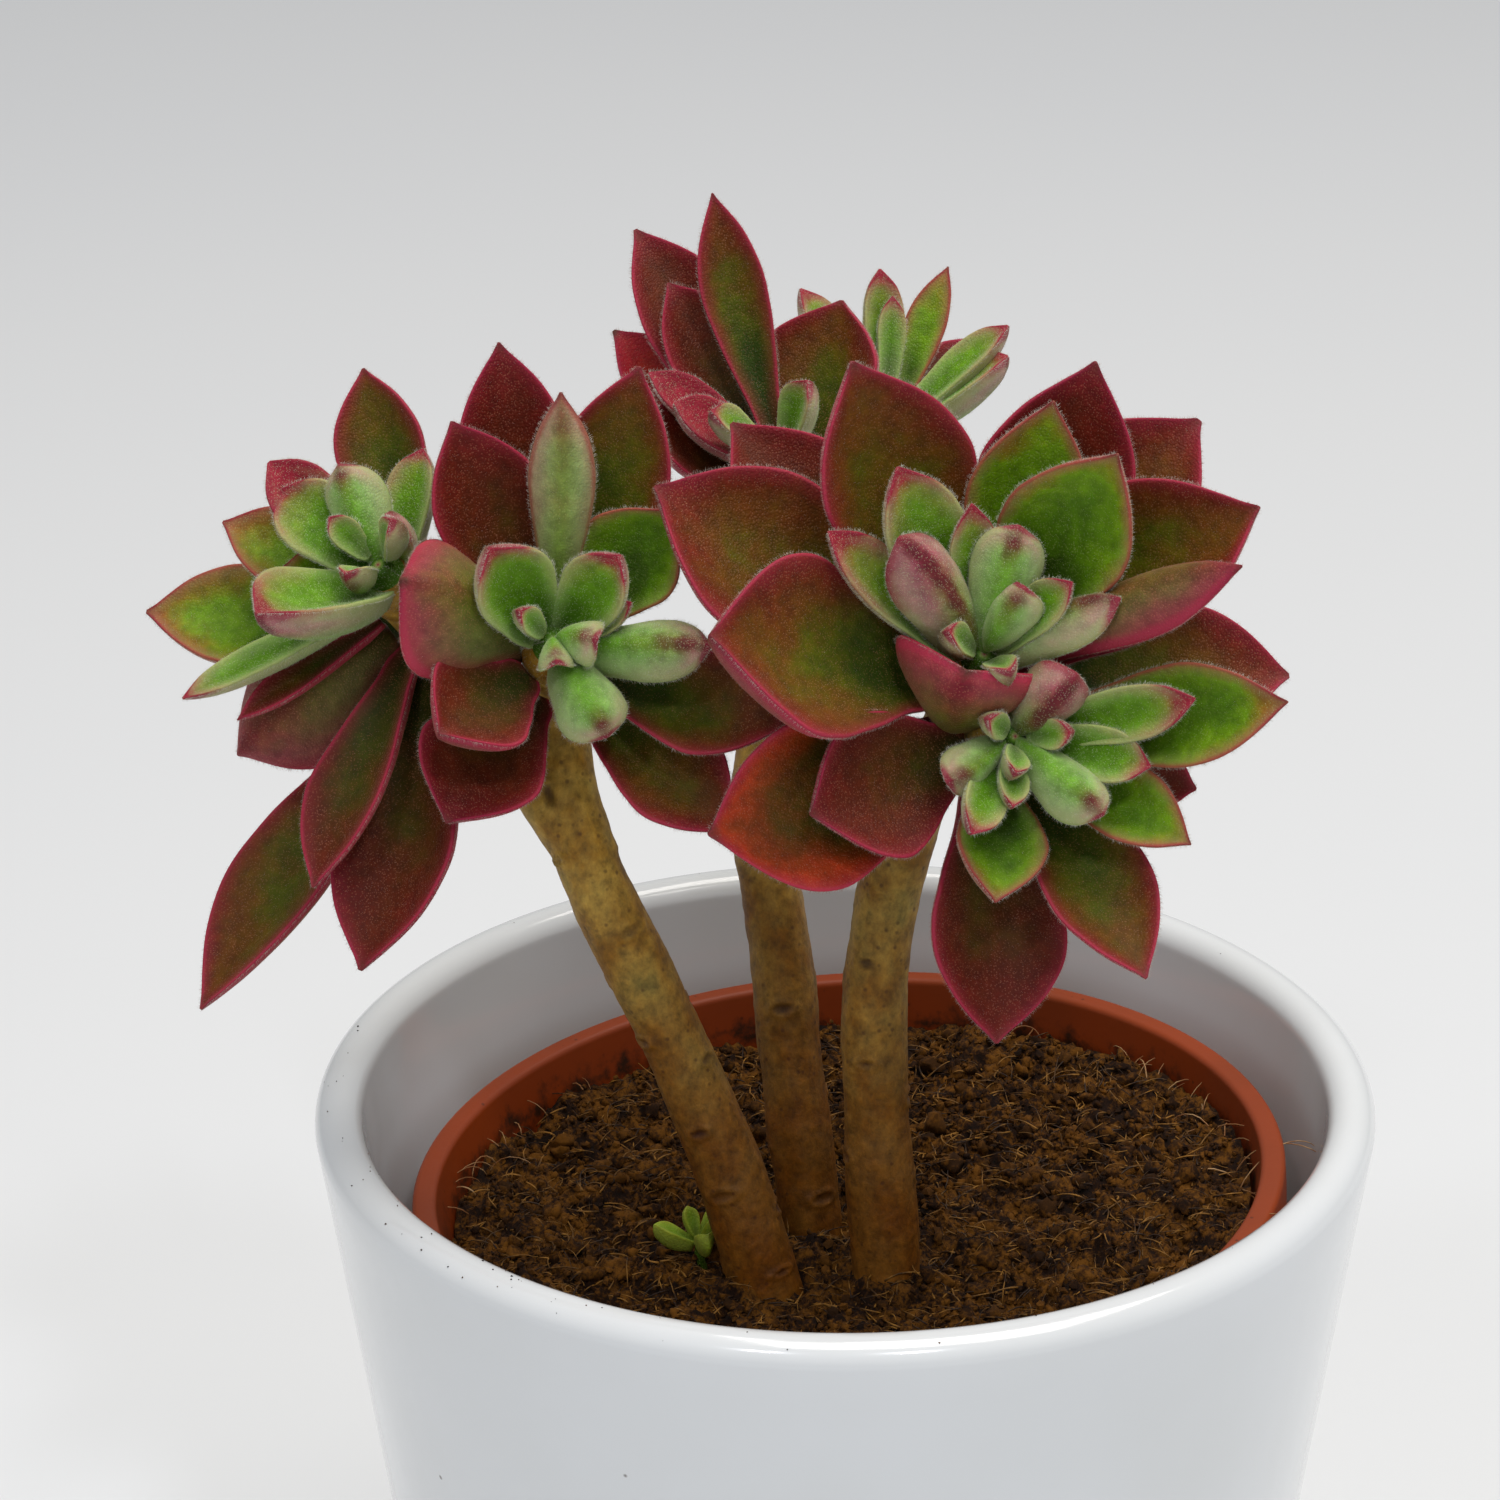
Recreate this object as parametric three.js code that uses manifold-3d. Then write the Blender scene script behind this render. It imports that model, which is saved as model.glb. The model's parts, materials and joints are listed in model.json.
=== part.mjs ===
// A potted succulent: three leaning stems with six leaf rosettes, rooted in soil in a plastic
// nursery pot that stands a little askew inside a plain glazed pot.
// Millimetres, +Z up. X runs left to right and Y front to back. The origin is the middle of the
// glazed pot's flat foot.

import * as THREE from "three";
import { mergeVertices } from "three/addons/utils/BufferGeometryUtils.js";
import Module from "manifold-3d";

const wasm = await Module();
wasm.setup();

// ---------------------------------------------------------------- driving dimensions

const GAP = 0.3; // clearance kept between touching pieces

const pot = {
  height: 130,
  rimRadius: 72.5,
  wall: 6.5,
  footRadius: 50, // flat part of the foot
  footRounding: 5.5,
  floor: 7, // thickness of the floor
  floorRadius: 50, // inside, where the wall starts
  floorFillet: 12, // inside, between floor and wall
};

const nursery = {
  height: 104,
  rimRadius: 60,
  footRadius: 42,
  wall: 1.2,
  lipDrop: 9, // height of the turned-down lip
  lipWidth: 2.2,
  tilt: 3.3, // degrees, left side low
  rimCentre: [0.5, -3], // X and Y of the rim's middle
  rimBelowPot: 12, // how far its rim sits below the glazed rim
  drainHoles: 8,
  drainRadius: 4,
  drainCircle: 29,
  soilBelowRim: 7,
};

const shoot = {
  radius: 4, // of the leafy stem ends
  budLength: 9, // from the growing point down to the stem's cut end
  sides: 12,
};

const seat = shoot.radius + GAP; // leaf bases stand this far from the shoot's axis

// ---------------------------------------------------------------- colours and finishes

const finishes = {
  glaze: { color: "#e4e5e6", roughness: 0.12, metalness: 0 },
  nurseryPlastic: { color: "#b5583a", roughness: 0.45, metalness: 0 },
  soil: { color: "#2e1d10", roughness: 0.95, metalness: 0 },
  bark: { color: "#9a7c4c", roughness: 0.8, metalness: 0 },
  silver: { color: "#8fae68", roughness: 0.7, metalness: 0 },
  green: { color: "#5a8a24", roughness: 0.6, metalness: 0 },
  olive: { color: "#5a4a1c", roughness: 0.6, metalness: 0 },
  maroon: { color: "#5c2018", roughness: 0.6, metalness: 0 },
  red: { color: "#a83a22", roughness: 0.6, metalness: 0 },
};

// ---------------------------------------------------------------- the plant's layout

// Stems: the places they pass, from inside the soil up to a shoot, with the radius at each end.
// A branch starts inside its parent. `to` names the rosette that the stem ends in.
const stems = {
  stem_left: [
    { from: [[-7, -23, 88], [-11, -21, 109], [-18, -18, 132], [-25.5, -17, 151], [-35, -16, 174]],
      radii: [5.2, 3.9], to: "inner_left" },
    { from: [[-33, -16, 170], [-39, -14, 179]], radii: [4.2, 3.9], to: "outer_left" },
  ],
  stem_middle: [
    { from: [[-3, -7, 88], [-4.5, -5, 109], [-7, -2, 130], [-8.5, 2, 148], [-11, 9, 171]],
      radii: [4.6, 3.9], to: "back_left" },
    { from: [[-11, 9, 171], [-8, 18, 182]], radii: [4, 3.9], to: "back_right" },
  ],
  stem_right: [
    { from: [[6, -22, 88], [5.3, -20.5, 109], [4, -18, 135], [4, -16, 155], [8, -14, 175]],
      radii: [5.2, 3.9], to: "right" },
    { from: [[14, -20, 191.5], [15.4, -23, 191.7]], radii: [3.4, 3.4], to: "lower_right" },
  ],
};

// Rosettes: the growing point, the way the shoot points there, and the leaves.
// A leaf: how far below the growing point it leaves the shoot, its azimuth round the shoot
// (0 is right, 90 is up and back), its rise above the square plane, its length and width,
// its curl (how far the tip turns up), its roll, and its finish.
// Young leaves are still joined at the growing point, so they belong to the bud.
const rosettes = {
  right: {
    tip: [17, -34, 207],
    axis: [0.1, -0.74, 0.66],
    leaves: [
      [17, 146, 16, 44, 23, 20, 0, "olive"],
      [10, 178, 31, 36, 22, 30, 0, "olive"],
      [20, 124, 3, 43, 19, 20, 0, "maroon"],
      [12, 113, 36, 41, 21, 25, 0, "olive"],
      [16, 64, 38, 42, 20, 20, 0, "maroon"],
      [10, 70, 38, 33, 15, 25, 0, "green"],
      [8, 49, 51, 32, 17, 25, 0, "green"],
      [20, 44, 20, 43, 22, 15, 0, "olive"],
      [14, 20, 39, 41, 20, 15, 0, "olive"],
      [8.5, 7, 42, 35, 10, 20, 150, "maroon"],
      [16, 358, 4, 37, 18, 10, 0, "olive"],
      [12, 229, 86, 17, 12.8, 20, 0, "red"],
    ],
    young: [
      [6, 117, 40, 25, 11, 15, 0],
      [6, 94, 45, 18, 6.5, 10, 0],
      [6, 143, 30, 23, 7.5, 15, 0],
      [5, 132, 45, 18, 9.5, 20, 180],
      [3, 72, 50, 15, 9, 5, 0],
      [1, 50, 62, 8, 7, 5, 0],
      [3, 27, 50, 12.5, 6, 5, 0],
      [5, 10, 42, 17, 7, 10, 150],
      [1, 170, 60, 5, 4, 5, 0],
      [1, 290, 62, 4.5, 4, 5, 0],
    ],
  },
  lower_right: {
    tip: [21, -38, 197],
    axis: [0.25, -0.9, 0.36],
    leaves: [
      [10, 194, 15, 24, 17, 10, 0, "maroon"],
      [16, 192, 8, 35, 22, -15, 0, "red"],
      [8, 254, 30, 19, 12, 10, 0, "green"],
      [14, 264, 7, 35, 18, 10, 0, "maroon"],
      [9, 2, 42, 35, 13, 10, 0, "green"],
      [15, 339, 7, 24.5, 12, 10, 0, "maroon"],
      [8, 320, 38, 25, 10, 10, 0, "green"],
      [12, 290, 31, 34, 14, 10, 0, "olive"],
    ],
    young: [
      [4, 48, 50, 10, 8, 15, 0],
      [4, 203, 32, 9, 6, 5, 0],
      [4, 231, 35, 12.5, 6, 5, 0],
      [3, 250, 45, 7.5, 4, 5, 0],
      [4, 340, 40, 15, 7, 5, 0],
      [3, 305, 45, 13, 7.5, 5, 0],
      [5, 8, 44, 22, 7, 10, 0],
      [1, 150, 50, 3.5, 3.5, 5, 0],
      [1, 240, 62, 4, 3.5, 5, 0],
      [1, 0, 60, 4.5, 4, 5, 0],
    ],
  },
  inner_left: {
    tip: [-37, -26, 206],
    axis: [0.05, -0.8, 0.6],
    leaves: [
      [12, 113, 30, 30, 15, 20, 0, "maroon"],
      [16.5, 98, 26, 39, 15, 15, 0, "maroon"],
      [8, 86, 42, 32, 8.5, 10, 180, "green"],
      [14, 70, 32, 37, 15, 15, 0, "olive"],
      [8, 46, 26, 20, 14, 25, 0, "green"],
      [10.5, 161, 47, 23, 15.5, 20, 175, "red"],
      [8, 220, 34, 18, 15, 25, 0, "maroon"],
      [15, 236, 15, 22, 17, 5, 0, "maroon"],
      [12, 339, 15, 28, 14, 10, 0, "olive"],
      [16, 313, 9, 28, 14, 5, 0, "olive"],
    ],
    young: [
      [5, 128, 50, 14, 11, 20, 0],
      [5, 45, 48, 13, 9, 15, 0],
      [5, 296, 20, 11, 9, 15, 0],
      [7, 353, 28, 18, 8, 15, 0],
      [2, 344, 58, 5, 6, 5, 0],
      [2, 274, 65, 3.5, 4.5, 5, 0],
      [5, 20, 40, 9, 4, 5, 0],
      [1, 150, 62, 4, 3.5, 5, 0],
    ],
  },
  outer_left: {
    tip: [-60, -16, 213],
    axis: [-0.35, -0.55, 0.76],
    leaves: [
      [18, 198, 18, 34, 15, 15, 0, "green"],
      [12, 178, 27, 23.7, 11, 10, 0, "green"],
      [12, 118, 32, 28, 12.5, 15, 0, "olive"],
      [9.3, 191, 33, 12.3, 9.6, 20, 0, "green"],
      [11, 236, 4, 22.5, 8.5, 15, 0, "maroon"],
      [15, 232, -6, 26, 10.5, 15, 150, "maroon"],
      [16, 271, -5, 34, 11, -10, 0, "maroon"],
      [18, 278, -15, 41.5, 17, 15, 0, "maroon"],
      [28, 250, -9, 52.5, 15, 20, 0, "olive"],
    ],
    young: [
      [7, 157, 36, 19, 9, 5, 0],
      [4, 128, 45, 11.5, 8, 5, 0],
      [7, 100, 60, 6.5, 9, 10, 0],
      [5, 164, 32, 14.5, 10, 10, 0],
      [7, 96, 20, 14, 7, 10, 0],
      [6, 256, 50, 20, 12.5, 10, 0],
      [7, 226, 2, 27, 5, 5, 0],
      [1, 40, 62, 5, 4, 5, 0],
      [1, 160, 62, 5, 4, 5, 0],
      [1, 280, 60, 4.5, 4, 5, 0],
    ],
  },
  back_left: {
    tip: [-9, 18, 216],
    axis: [-0.25, -0.45, 0.86],
    leaves: [
      [13, 141, 34, 41, 14, 15, 0, "maroon"],
      [5, 121, 47, 34.6, 9, 15, 0, "olive"],
      [8, 142, 37, 28.3, 12, 15, 0, "maroon"],
      [18, 155, 28, 35.5, 13, 15, 0, "red"],
      [10, 88, 34, 23, 18, 20, 0, "olive"],
      [13, 186, 51, 22, 11.5, 15, 0, "maroon"],
    ],
    young: [
      [7, 172, 40, 19, 6.5, 10, 0],
      [5, 185, 45, 13, 7, 10, 0],
      [3, 60, 55, 8, 6, 10, 0],
      [1, 200, 60, 7, 5, 5, 0],
    ],
  },
  back_right: {
    tip: [7.5, 42, 215],
    axis: [0.15, -0.15, 0.97],
    leaves: [
      [8, 24, 52, 24, 6, 15, 0, "green"],
      [12, 14, 28, 23, 10, 10, 0, "maroon"],
    ],
    young: [
      [6, 95, 40, 18.5, 7, 10, 0],
      [4, 62, 60, 16.5, 6, 10, 0],
      [2, 53, 62, 11, 4, 10, 0],
      [7, 338, 46, 19, 6.5, 10, 0],
      [7, 325, 42, 16.5, 9, 10, 0],
    ],
  },
};

// A seedling in the soil: where its growing point stands in the nursery pot, above the soil's
// mean level, the size of its stalk, and its leaves in the same form as the young leaves.
const sprout = {
  place: [-21, -11.5, 4],
  stalk: { radius: 1.1, budLength: 9, sides: 8 },
  leaves: [
    [1.5, 20, 40, 6, 3, 10, 0],
    [1.5, 140, 35, 7, 3.2, 10, 0],
    [1.5, 265, 30, 6.5, 3, 10, 0],
    [0.8, 85, 58, 4, 2.4, 10, 0],
    [0.8, 205, 60, 3.5, 2.2, 10, 0],
  ],
};

// Outlines from base to tip: place along the leaf, half width and thickness as shares.
const grownOutline = [
  [0.03, 0.3, 0.55],
  [0.18, 0.43, 0.9],
  [0.38, 0.76, 1],
  [0.58, 1, 0.92],
  [0.76, 0.84, 0.72],
  [0.91, 0.42, 0.45],
];
const youngOutline = [
  [0.08, 0.5, 0.7],
  [0.4, 0.86, 1],
  [0.7, 1, 0.9],
  [0.9, 0.62, 0.6],
];

// A leaf's section, as shares of its half width and of its thickness: a shallow channel along
// the upper face and a keel under it.
const leafSection = [
  [1, 0],
  [0, 0.22],
  [-1, 0],
  [-0.6, -0.5],
  [0, -0.78],
  [0.6, -0.5],
];

const leafCup = 0.22; // how far the edges lift, as a share of the half width
const budShare = 0.4; // a young leaf starts inside the bud, at this share of its radius
const youngPlump = 1.35; // young leaves are this much thicker for their width

// ---------------------------------------------------------------- helpers

const radians = (degrees) => (degrees * Math.PI) / 180;

function meshOf(name, geometry, finish) {
  const mesh = new THREE.Mesh(geometry, new THREE.MeshStandardMaterial(finishes[finish]));
  mesh.name = name;
  return mesh;
}

// A closed skin over equal rings of points, with a point at each end.
function loft(start, rings, end) {
  const sides = rings[0].length;
  const points = [start, ...rings.flat(), end];
  const last = points.length - 1;
  const at = (ring, side) => 1 + ring * sides + (side % sides);
  const faces = [];
  for (let side = 0; side < sides; side += 1) {
    faces.push(0, at(0, side + 1), at(0, side));
    faces.push(last, at(rings.length - 1, side), at(rings.length - 1, side + 1));
    for (let ring = 0; ring + 1 < rings.length; ring += 1) {
      faces.push(at(ring, side), at(ring, side + 1), at(ring + 1, side + 1));
      faces.push(at(ring, side), at(ring + 1, side + 1), at(ring + 1, side));
    }
  }
  const geometry = new THREE.BufferGeometry();
  const flat = points.flatMap((point) => point.toArray());
  geometry.setAttribute("position", new THREE.Float32BufferAttribute(flat, 3));
  geometry.setIndex(faces);
  geometry.computeVertexNormals();
  return geometry;
}

function asManifold(geometry, matrix = new THREE.Matrix4()) {
  const bare = geometry.clone().applyMatrix4(matrix);
  bare.deleteAttribute("normal");
  bare.deleteAttribute("uv");
  const merged = mergeVertices(bare, 1e-3);
  return new wasm.Manifold(
    new wasm.Mesh({
      numProp: 3,
      vertProperties: new Float32Array(merged.attributes.position.array),
      triVerts: new Uint32Array(merged.index.array),
    }),
  );
}

function asGeometry(solid) {
  const mesh = solid.getMesh();
  const geometry = new THREE.BufferGeometry();
  geometry.setAttribute("position", new THREE.BufferAttribute(mesh.vertProperties, 3));
  geometry.setIndex(new THREE.BufferAttribute(mesh.triVerts, 1));
  geometry.computeVertexNormals();
  return geometry;
}

// A lathe profile of [radius, height] turned about Z.
function turned(profile, segments) {
  const points = profile.map(([radius, height]) => new THREE.Vector2(radius, height));
  return new THREE.LatheGeometry(points, segments).rotateX(Math.PI / 2);
}

// Points on an arc in a profile, from one angle to another in degrees.
function arc(radius, height, size, from, to, steps) {
  return Array.from({ length: steps + 1 }, (_, step) => {
    const angle = radians(from + ((to - from) * step) / steps);
    return [radius + size * Math.cos(angle), height + size * Math.sin(angle)];
  });
}

// ---------------------------------------------------------------- pots and soil

function outerPot() {
  const rim = pot.wall / 2;
  const rimHeight = pot.height - rim;
  const profile = [
    [0, 0],
    [pot.footRadius, 0],
    ...arc(pot.footRadius, pot.footRounding, pot.footRounding, -60, -10, 2),
    ...arc(pot.rimRadius - rim, rimHeight, rim, 0, 180, 5),
    ...arc(pot.floorRadius - pot.floorFillet, pot.floor + pot.floorFillet, pot.floorFillet, -8, -90, 4),
    [0, pot.floor],
  ];
  return meshOf("outer_pot", turned(profile, 40), "glaze");
}

function innerPot() {
  const { height, rimRadius, footRadius, wall, lipDrop, lipWidth } = nursery;
  const bodyTop = rimRadius - lipWidth;
  const slope = (bodyTop - footRadius) / height;
  const profile = [
    [0, 0],
    [footRadius - 2, 0],
    [footRadius, 1.5],
    [footRadius + slope * (height - lipDrop), height - lipDrop],
    [rimRadius - wall / 2, height - lipDrop],
    [rimRadius, height - wall],
    [rimRadius - 0.6, height],
    [bodyTop - wall, height],
    [footRadius - wall, wall + 1],
    [footRadius - wall - 1.5, wall],
    [0, wall],
  ];
  let solid = asManifold(turned(profile, 40));
  const hole = new THREE.CylinderGeometry(nursery.drainRadius, nursery.drainRadius, 6, 12);
  hole.rotateX(Math.PI / 2);
  for (let index = 0; index < nursery.drainHoles; index += 1) {
    const angle = (2 * Math.PI * index) / nursery.drainHoles;
    const x = nursery.drainCircle * Math.cos(angle);
    const y = nursery.drainCircle * Math.sin(angle);
    solid = solid.subtract(asManifold(hole, new THREE.Matrix4().makeTranslation(x, y, 0)));
  }
  return meshOf("inner_pot", asGeometry(solid), "nurseryPlastic");
}

// The soil's crumbly top: low waves of a few wavelengths.
function crumble(x, y) {
  const broad = 1.1 * Math.sin(x / 9 + 1) * Math.cos(y / 8);
  const fine = 0.5 * Math.sin(x / 3.1 + y / 4.3) + 0.4 * Math.cos(y / 2.7 - x / 5);
  return broad + fine;
}

// Built in the nursery pot's own frame, with sockets where the stems and the seedling go in.
function soilBody(holes) {
  const { height, rimRadius, footRadius, wall, lipWidth, soilBelowRim } = nursery;
  const top = height - soilBelowRim;
  const slope = (rimRadius - lipWidth - footRadius) / height;
  const inside = (level) => footRadius + slope * level - wall - 2 * GAP;
  const profile = [
    [0, wall + GAP],
    [footRadius - wall - 3, wall + GAP],
    [inside(5), 5],
    [inside(top), top - 1.5],
    ...[0.94, 0.82, 0.7, 0.58, 0.46, 0.34, 0.22, 0.1].map((share) => [inside(top) * share, top]),
    [0, top],
  ];
  const body = turned(profile, 36);
  const place = body.attributes.position;
  for (let index = 0; index < place.count; index += 1) {
    if (place.getZ(index) > top - 0.1) {
      place.setZ(index, top + crumble(place.getX(index), place.getY(index)));
    }
  }
  let solid = asManifold(body);
  for (const hole of holes) {
    solid = solid.subtract(asManifold(hole));
  }
  return meshOf("soil", asGeometry(solid), "soil");
}

// ---------------------------------------------------------------- stems

// A round stem along a smooth line through the points. `swell` thickens it all over.
function stemGeometry(points, radii, swell = 0) {
  const curve = new THREE.CatmullRomCurve3(points, false, "centripetal");
  const length = curve.getLength();
  const steps = Math.max(4, Math.round(length / 9));
  const frames = curve.computeFrenetFrames(steps, false);
  const rings = [];
  for (let step = 0; step <= steps; step += 1) {
    const share = step / steps;
    const centre = curve.getPointAt(share);
    const radius = radii[0] + (radii[1] - radii[0]) * share + swell;
    rings.push(
      Array.from({ length: shoot.sides }, (_, side) => {
        const angle = (2 * Math.PI * side) / shoot.sides;
        return centre
          .clone()
          .addScaledVector(frames.normals[step], radius * Math.cos(angle))
          .addScaledVector(frames.binormals[step], radius * Math.sin(angle));
      }),
    );
  }
  const bulge = 0.5 + swell;
  const start = curve.getPointAt(0).addScaledVector(curve.getTangentAt(0), -bulge);
  const end = curve.getPointAt(1).addScaledVector(curve.getTangentAt(1), bulge);
  return loft(start, rings, end);
}

// The last stretch of a stem follows its rosette's shoot, up to the bud.
function stemPoints(branch) {
  const { tip, axis } = rosettes[branch.to];
  const point = new THREE.Vector3(...tip);
  const along = new THREE.Vector3(...axis).normalize();
  const below = (distance) => point.clone().addScaledVector(along, -distance);
  const start = branch.from.map((place) => new THREE.Vector3(...place));
  const end = shoot.budLength + GAP + 0.5;
  return [...start, below(end + 11), below(end)];
}

function stemMesh(name, branches) {
  const solids = branches.map((branch) =>
    asManifold(stemGeometry(stemPoints(branch), branch.radii)),
  );
  const parts = solids.reduce((whole, solid) => whole.add(solid)).decompose();
  parts.sort((one, other) => other.volume() - one.volume()); // a join can leave empty specks
  return meshOf(name, asGeometry(parts[0]), "bark");
}

// ---------------------------------------------------------------- leaves

// A leaf along +X from its base at the origin, with its upper face towards +Z. Its middle line
// is an arc whose chord is the leaf's length; with no curl it is straight.
function leafGeometry(outline, length, width, curl, plump = 1) {
  const turn = radians(curl || 0.01);
  const half = width / 2;
  const thickness = (1.2 + 0.16 * width) * plump;
  const size = length / (2 * Math.sin(turn / 2));
  const rings = outline.map(([along, wide, thick]) => {
    const angle = turn * (along - 0.5);
    const centreX = size * (Math.sin(turn / 2) + Math.sin(angle));
    const centreZ = size * (Math.cos(turn / 2) - Math.cos(angle));
    return leafSection.map(([across, up]) => {
      const y = across * half * wide;
      const lift = up * thickness * thick + leafCup * half * wide * across * across;
      return new THREE.Vector3(
        centreX - lift * Math.sin(angle),
        y,
        centreZ + lift * Math.cos(angle),
      );
    });
  });
  return loft(new THREE.Vector3(0, 0, 0), rings, new THREE.Vector3(length, 0, 0));
}

// Puts a leaf on a shoot whose growing point is the group's origin and whose axis is its +Z.
function placeLeaf(object, [down, azimuth, rise, , , , roll]) {
  const around = new THREE.Group();
  around.rotation.z = radians(azimuth);
  object.position.set(seat, 0, -down);
  object.rotation.set(radians(roll), radians(-rise), 0, "YXZ");
  around.add(object);
  return around;
}

// The growing tip with the young leaves that are still joined to it. `swell` thickens the
// stalk alone, for the socket it stands in.
function stalkGeometry({ radius, budLength, sides }, swell = 0) {
  const profile = [
    [0, -budLength - swell],
    [0.8 * radius + swell, -budLength + 0.15 * radius - swell],
    [radius + swell, -budLength + 0.38 * radius],
    [0.92 * radius + swell, -0.88 * radius],
    [0.6 * radius, -0.25 * radius],
    [0, 0],
  ];
  return turned(profile, sides);
}

function budMesh(name, rows, stalk) {
  let solid = asManifold(stalkGeometry(stalk));
  for (const row of rows) {
    const [, , , length, width, curl] = row;
    const leaf = new THREE.Object3D();
    const holder = placeLeaf(leaf, row);
    leaf.position.x = budShare * stalk.radius;
    holder.updateMatrixWorld(true);
    const inside = (1 - budShare) * stalk.radius + GAP;
    const shape = leafGeometry(youngOutline, length + inside, width, curl, youngPlump);
    solid = solid.add(asManifold(shape, leaf.matrixWorld));
  }
  return meshOf(name, asGeometry(solid), "silver");
}

function rosette(name, { tip, axis, leaves, young }) {
  const group = new THREE.Group();
  const along = new THREE.Vector3(...axis).normalize();
  const right = new THREE.Vector3(0, 0, 1).cross(along).normalize();
  const back = along.clone().cross(right);
  group.quaternion.setFromRotationMatrix(new THREE.Matrix4().makeBasis(right, back, along));
  group.position.set(...tip);
  group.add(budMesh(`bud_${name}`, young, shoot));
  leaves.forEach((row, index) => {
    const [, , , length, width, curl, , finish] = row;
    const number = String(index + 1).padStart(2, "0");
    const shape = leafGeometry(grownOutline, length, width, curl);
    const leaf = meshOf(`leaf_${name}_${number}`, shape, finish);
    group.add(placeLeaf(leaf, row));
  });
  return group;
}

// ---------------------------------------------------------------- assembly

const plant = new THREE.Group();
plant.add(outerPot());

const nurseryGroup = new THREE.Group();
const lean = radians(nursery.tilt);
const rimHeight = pot.height - nursery.rimBelowPot;
nurseryGroup.rotation.y = -lean;
nurseryGroup.position.set(
  nursery.rimCentre[0] + nursery.height * Math.sin(lean),
  nursery.rimCentre[1],
  rimHeight - nursery.height * Math.cos(lean),
);
nurseryGroup.updateMatrixWorld(true);
const toNursery = nurseryGroup.matrixWorld.clone().invert();

const stemHoles = Object.values(stems).map(([trunk]) =>
  stemGeometry(stemPoints(trunk), trunk.radii, GAP).applyMatrix4(toNursery),
);
const [sproutX, sproutY, sproutAbove] = sprout.place;
const sproutZ = nursery.height - nursery.soilBelowRim + sproutAbove;
const sproutHole = stalkGeometry(sprout.stalk, GAP).translate(sproutX, sproutY, sproutZ);
const seedling = budMesh("sprout", sprout.leaves, sprout.stalk);
seedling.position.set(sproutX, sproutY, sproutZ);
nurseryGroup.add(innerPot());
nurseryGroup.add(soilBody([...stemHoles, sproutHole]));
nurseryGroup.add(seedling);
plant.add(nurseryGroup);

for (const [name, branches] of Object.entries(stems)) {
  plant.add(stemMesh(name, branches));
}
for (const [name, layout] of Object.entries(rosettes)) {
  plant.add(rosette(name, layout));
}

export default plant;
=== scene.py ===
import json
import math
from functools import partial

import bmesh
import bpy
import numpy as np
from mathutils import Matrix, Vector, noise
from mathutils.kdtree import KDTree


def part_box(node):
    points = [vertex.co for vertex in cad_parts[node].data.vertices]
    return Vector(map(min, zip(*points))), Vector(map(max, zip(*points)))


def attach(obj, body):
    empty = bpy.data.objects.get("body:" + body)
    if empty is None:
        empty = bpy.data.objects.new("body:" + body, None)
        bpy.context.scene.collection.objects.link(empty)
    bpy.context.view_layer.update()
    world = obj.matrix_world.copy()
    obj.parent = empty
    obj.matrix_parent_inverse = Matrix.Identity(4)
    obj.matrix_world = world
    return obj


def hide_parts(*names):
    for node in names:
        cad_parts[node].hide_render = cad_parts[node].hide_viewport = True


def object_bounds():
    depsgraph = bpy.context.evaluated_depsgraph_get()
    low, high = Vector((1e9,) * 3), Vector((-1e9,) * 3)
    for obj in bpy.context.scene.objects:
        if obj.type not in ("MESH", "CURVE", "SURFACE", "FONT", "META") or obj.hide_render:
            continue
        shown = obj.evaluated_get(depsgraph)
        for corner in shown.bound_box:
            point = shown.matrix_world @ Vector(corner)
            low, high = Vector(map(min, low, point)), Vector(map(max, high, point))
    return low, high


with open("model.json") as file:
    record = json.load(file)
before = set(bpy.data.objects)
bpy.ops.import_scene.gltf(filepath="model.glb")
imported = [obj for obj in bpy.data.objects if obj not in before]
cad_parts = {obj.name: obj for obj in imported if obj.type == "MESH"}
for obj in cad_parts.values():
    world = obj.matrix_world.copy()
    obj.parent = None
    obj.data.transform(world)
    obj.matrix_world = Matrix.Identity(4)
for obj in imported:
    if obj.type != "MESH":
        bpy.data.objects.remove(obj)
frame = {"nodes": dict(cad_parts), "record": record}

mm = 0.001
cadLow, cadHigh = [list(corner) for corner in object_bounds()]
nodes = frame["nodes"]
slotOf = {part["node"]: part["material_slot"] for part in frame["record"]["subparts"]}
dice = np.random.default_rng(7)
stemNames = ("stem_left", "stem_middle", "stem_right")


def linear(hexColour):
    parts = [int(hexColour[place : place + 2], 16) / 255 for place in (1, 3, 5)]
    parts = [c / 12.92 if c <= 0.04045 else ((c + 0.055) / 1.055) ** 2.4 for c in parts]
    return (*parts, 1)


def addNode(tree, kind, inputs=None, stops=None, **settings):
    # an input is a value, a hex colour, a socket, or a node whose first output in use feeds it
    node = tree.nodes.new(f"ShaderNode{kind}")
    for name, value in settings.items():
        setattr(node, name, value)
    for name, value in (inputs or {}).items():
        if isinstance(value, bpy.types.Node):
            value = next(socket for socket in value.outputs if socket.enabled)
        if isinstance(value, bpy.types.NodeSocket):
            tree.links.new(value, node.inputs[name])
        else:
            node.inputs[name].default_value = linear(value) if isinstance(value, str) else value
    if stops:
        ramp = node.color_ramp.elements
        while len(ramp) < len(stops):
            ramp.new(0.5)
        for element, (place, colour) in zip(ramp, stops):
            element.position = place
            element.color = linear(colour)
    return node


def newMaterial(name):
    # the material, and addNode bound to its node tree
    skin = bpy.data.materials.new(name)
    skin.use_nodes = True
    skin.node_tree.nodes.clear()
    return skin, partial(addNode, skin.node_tree)


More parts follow.
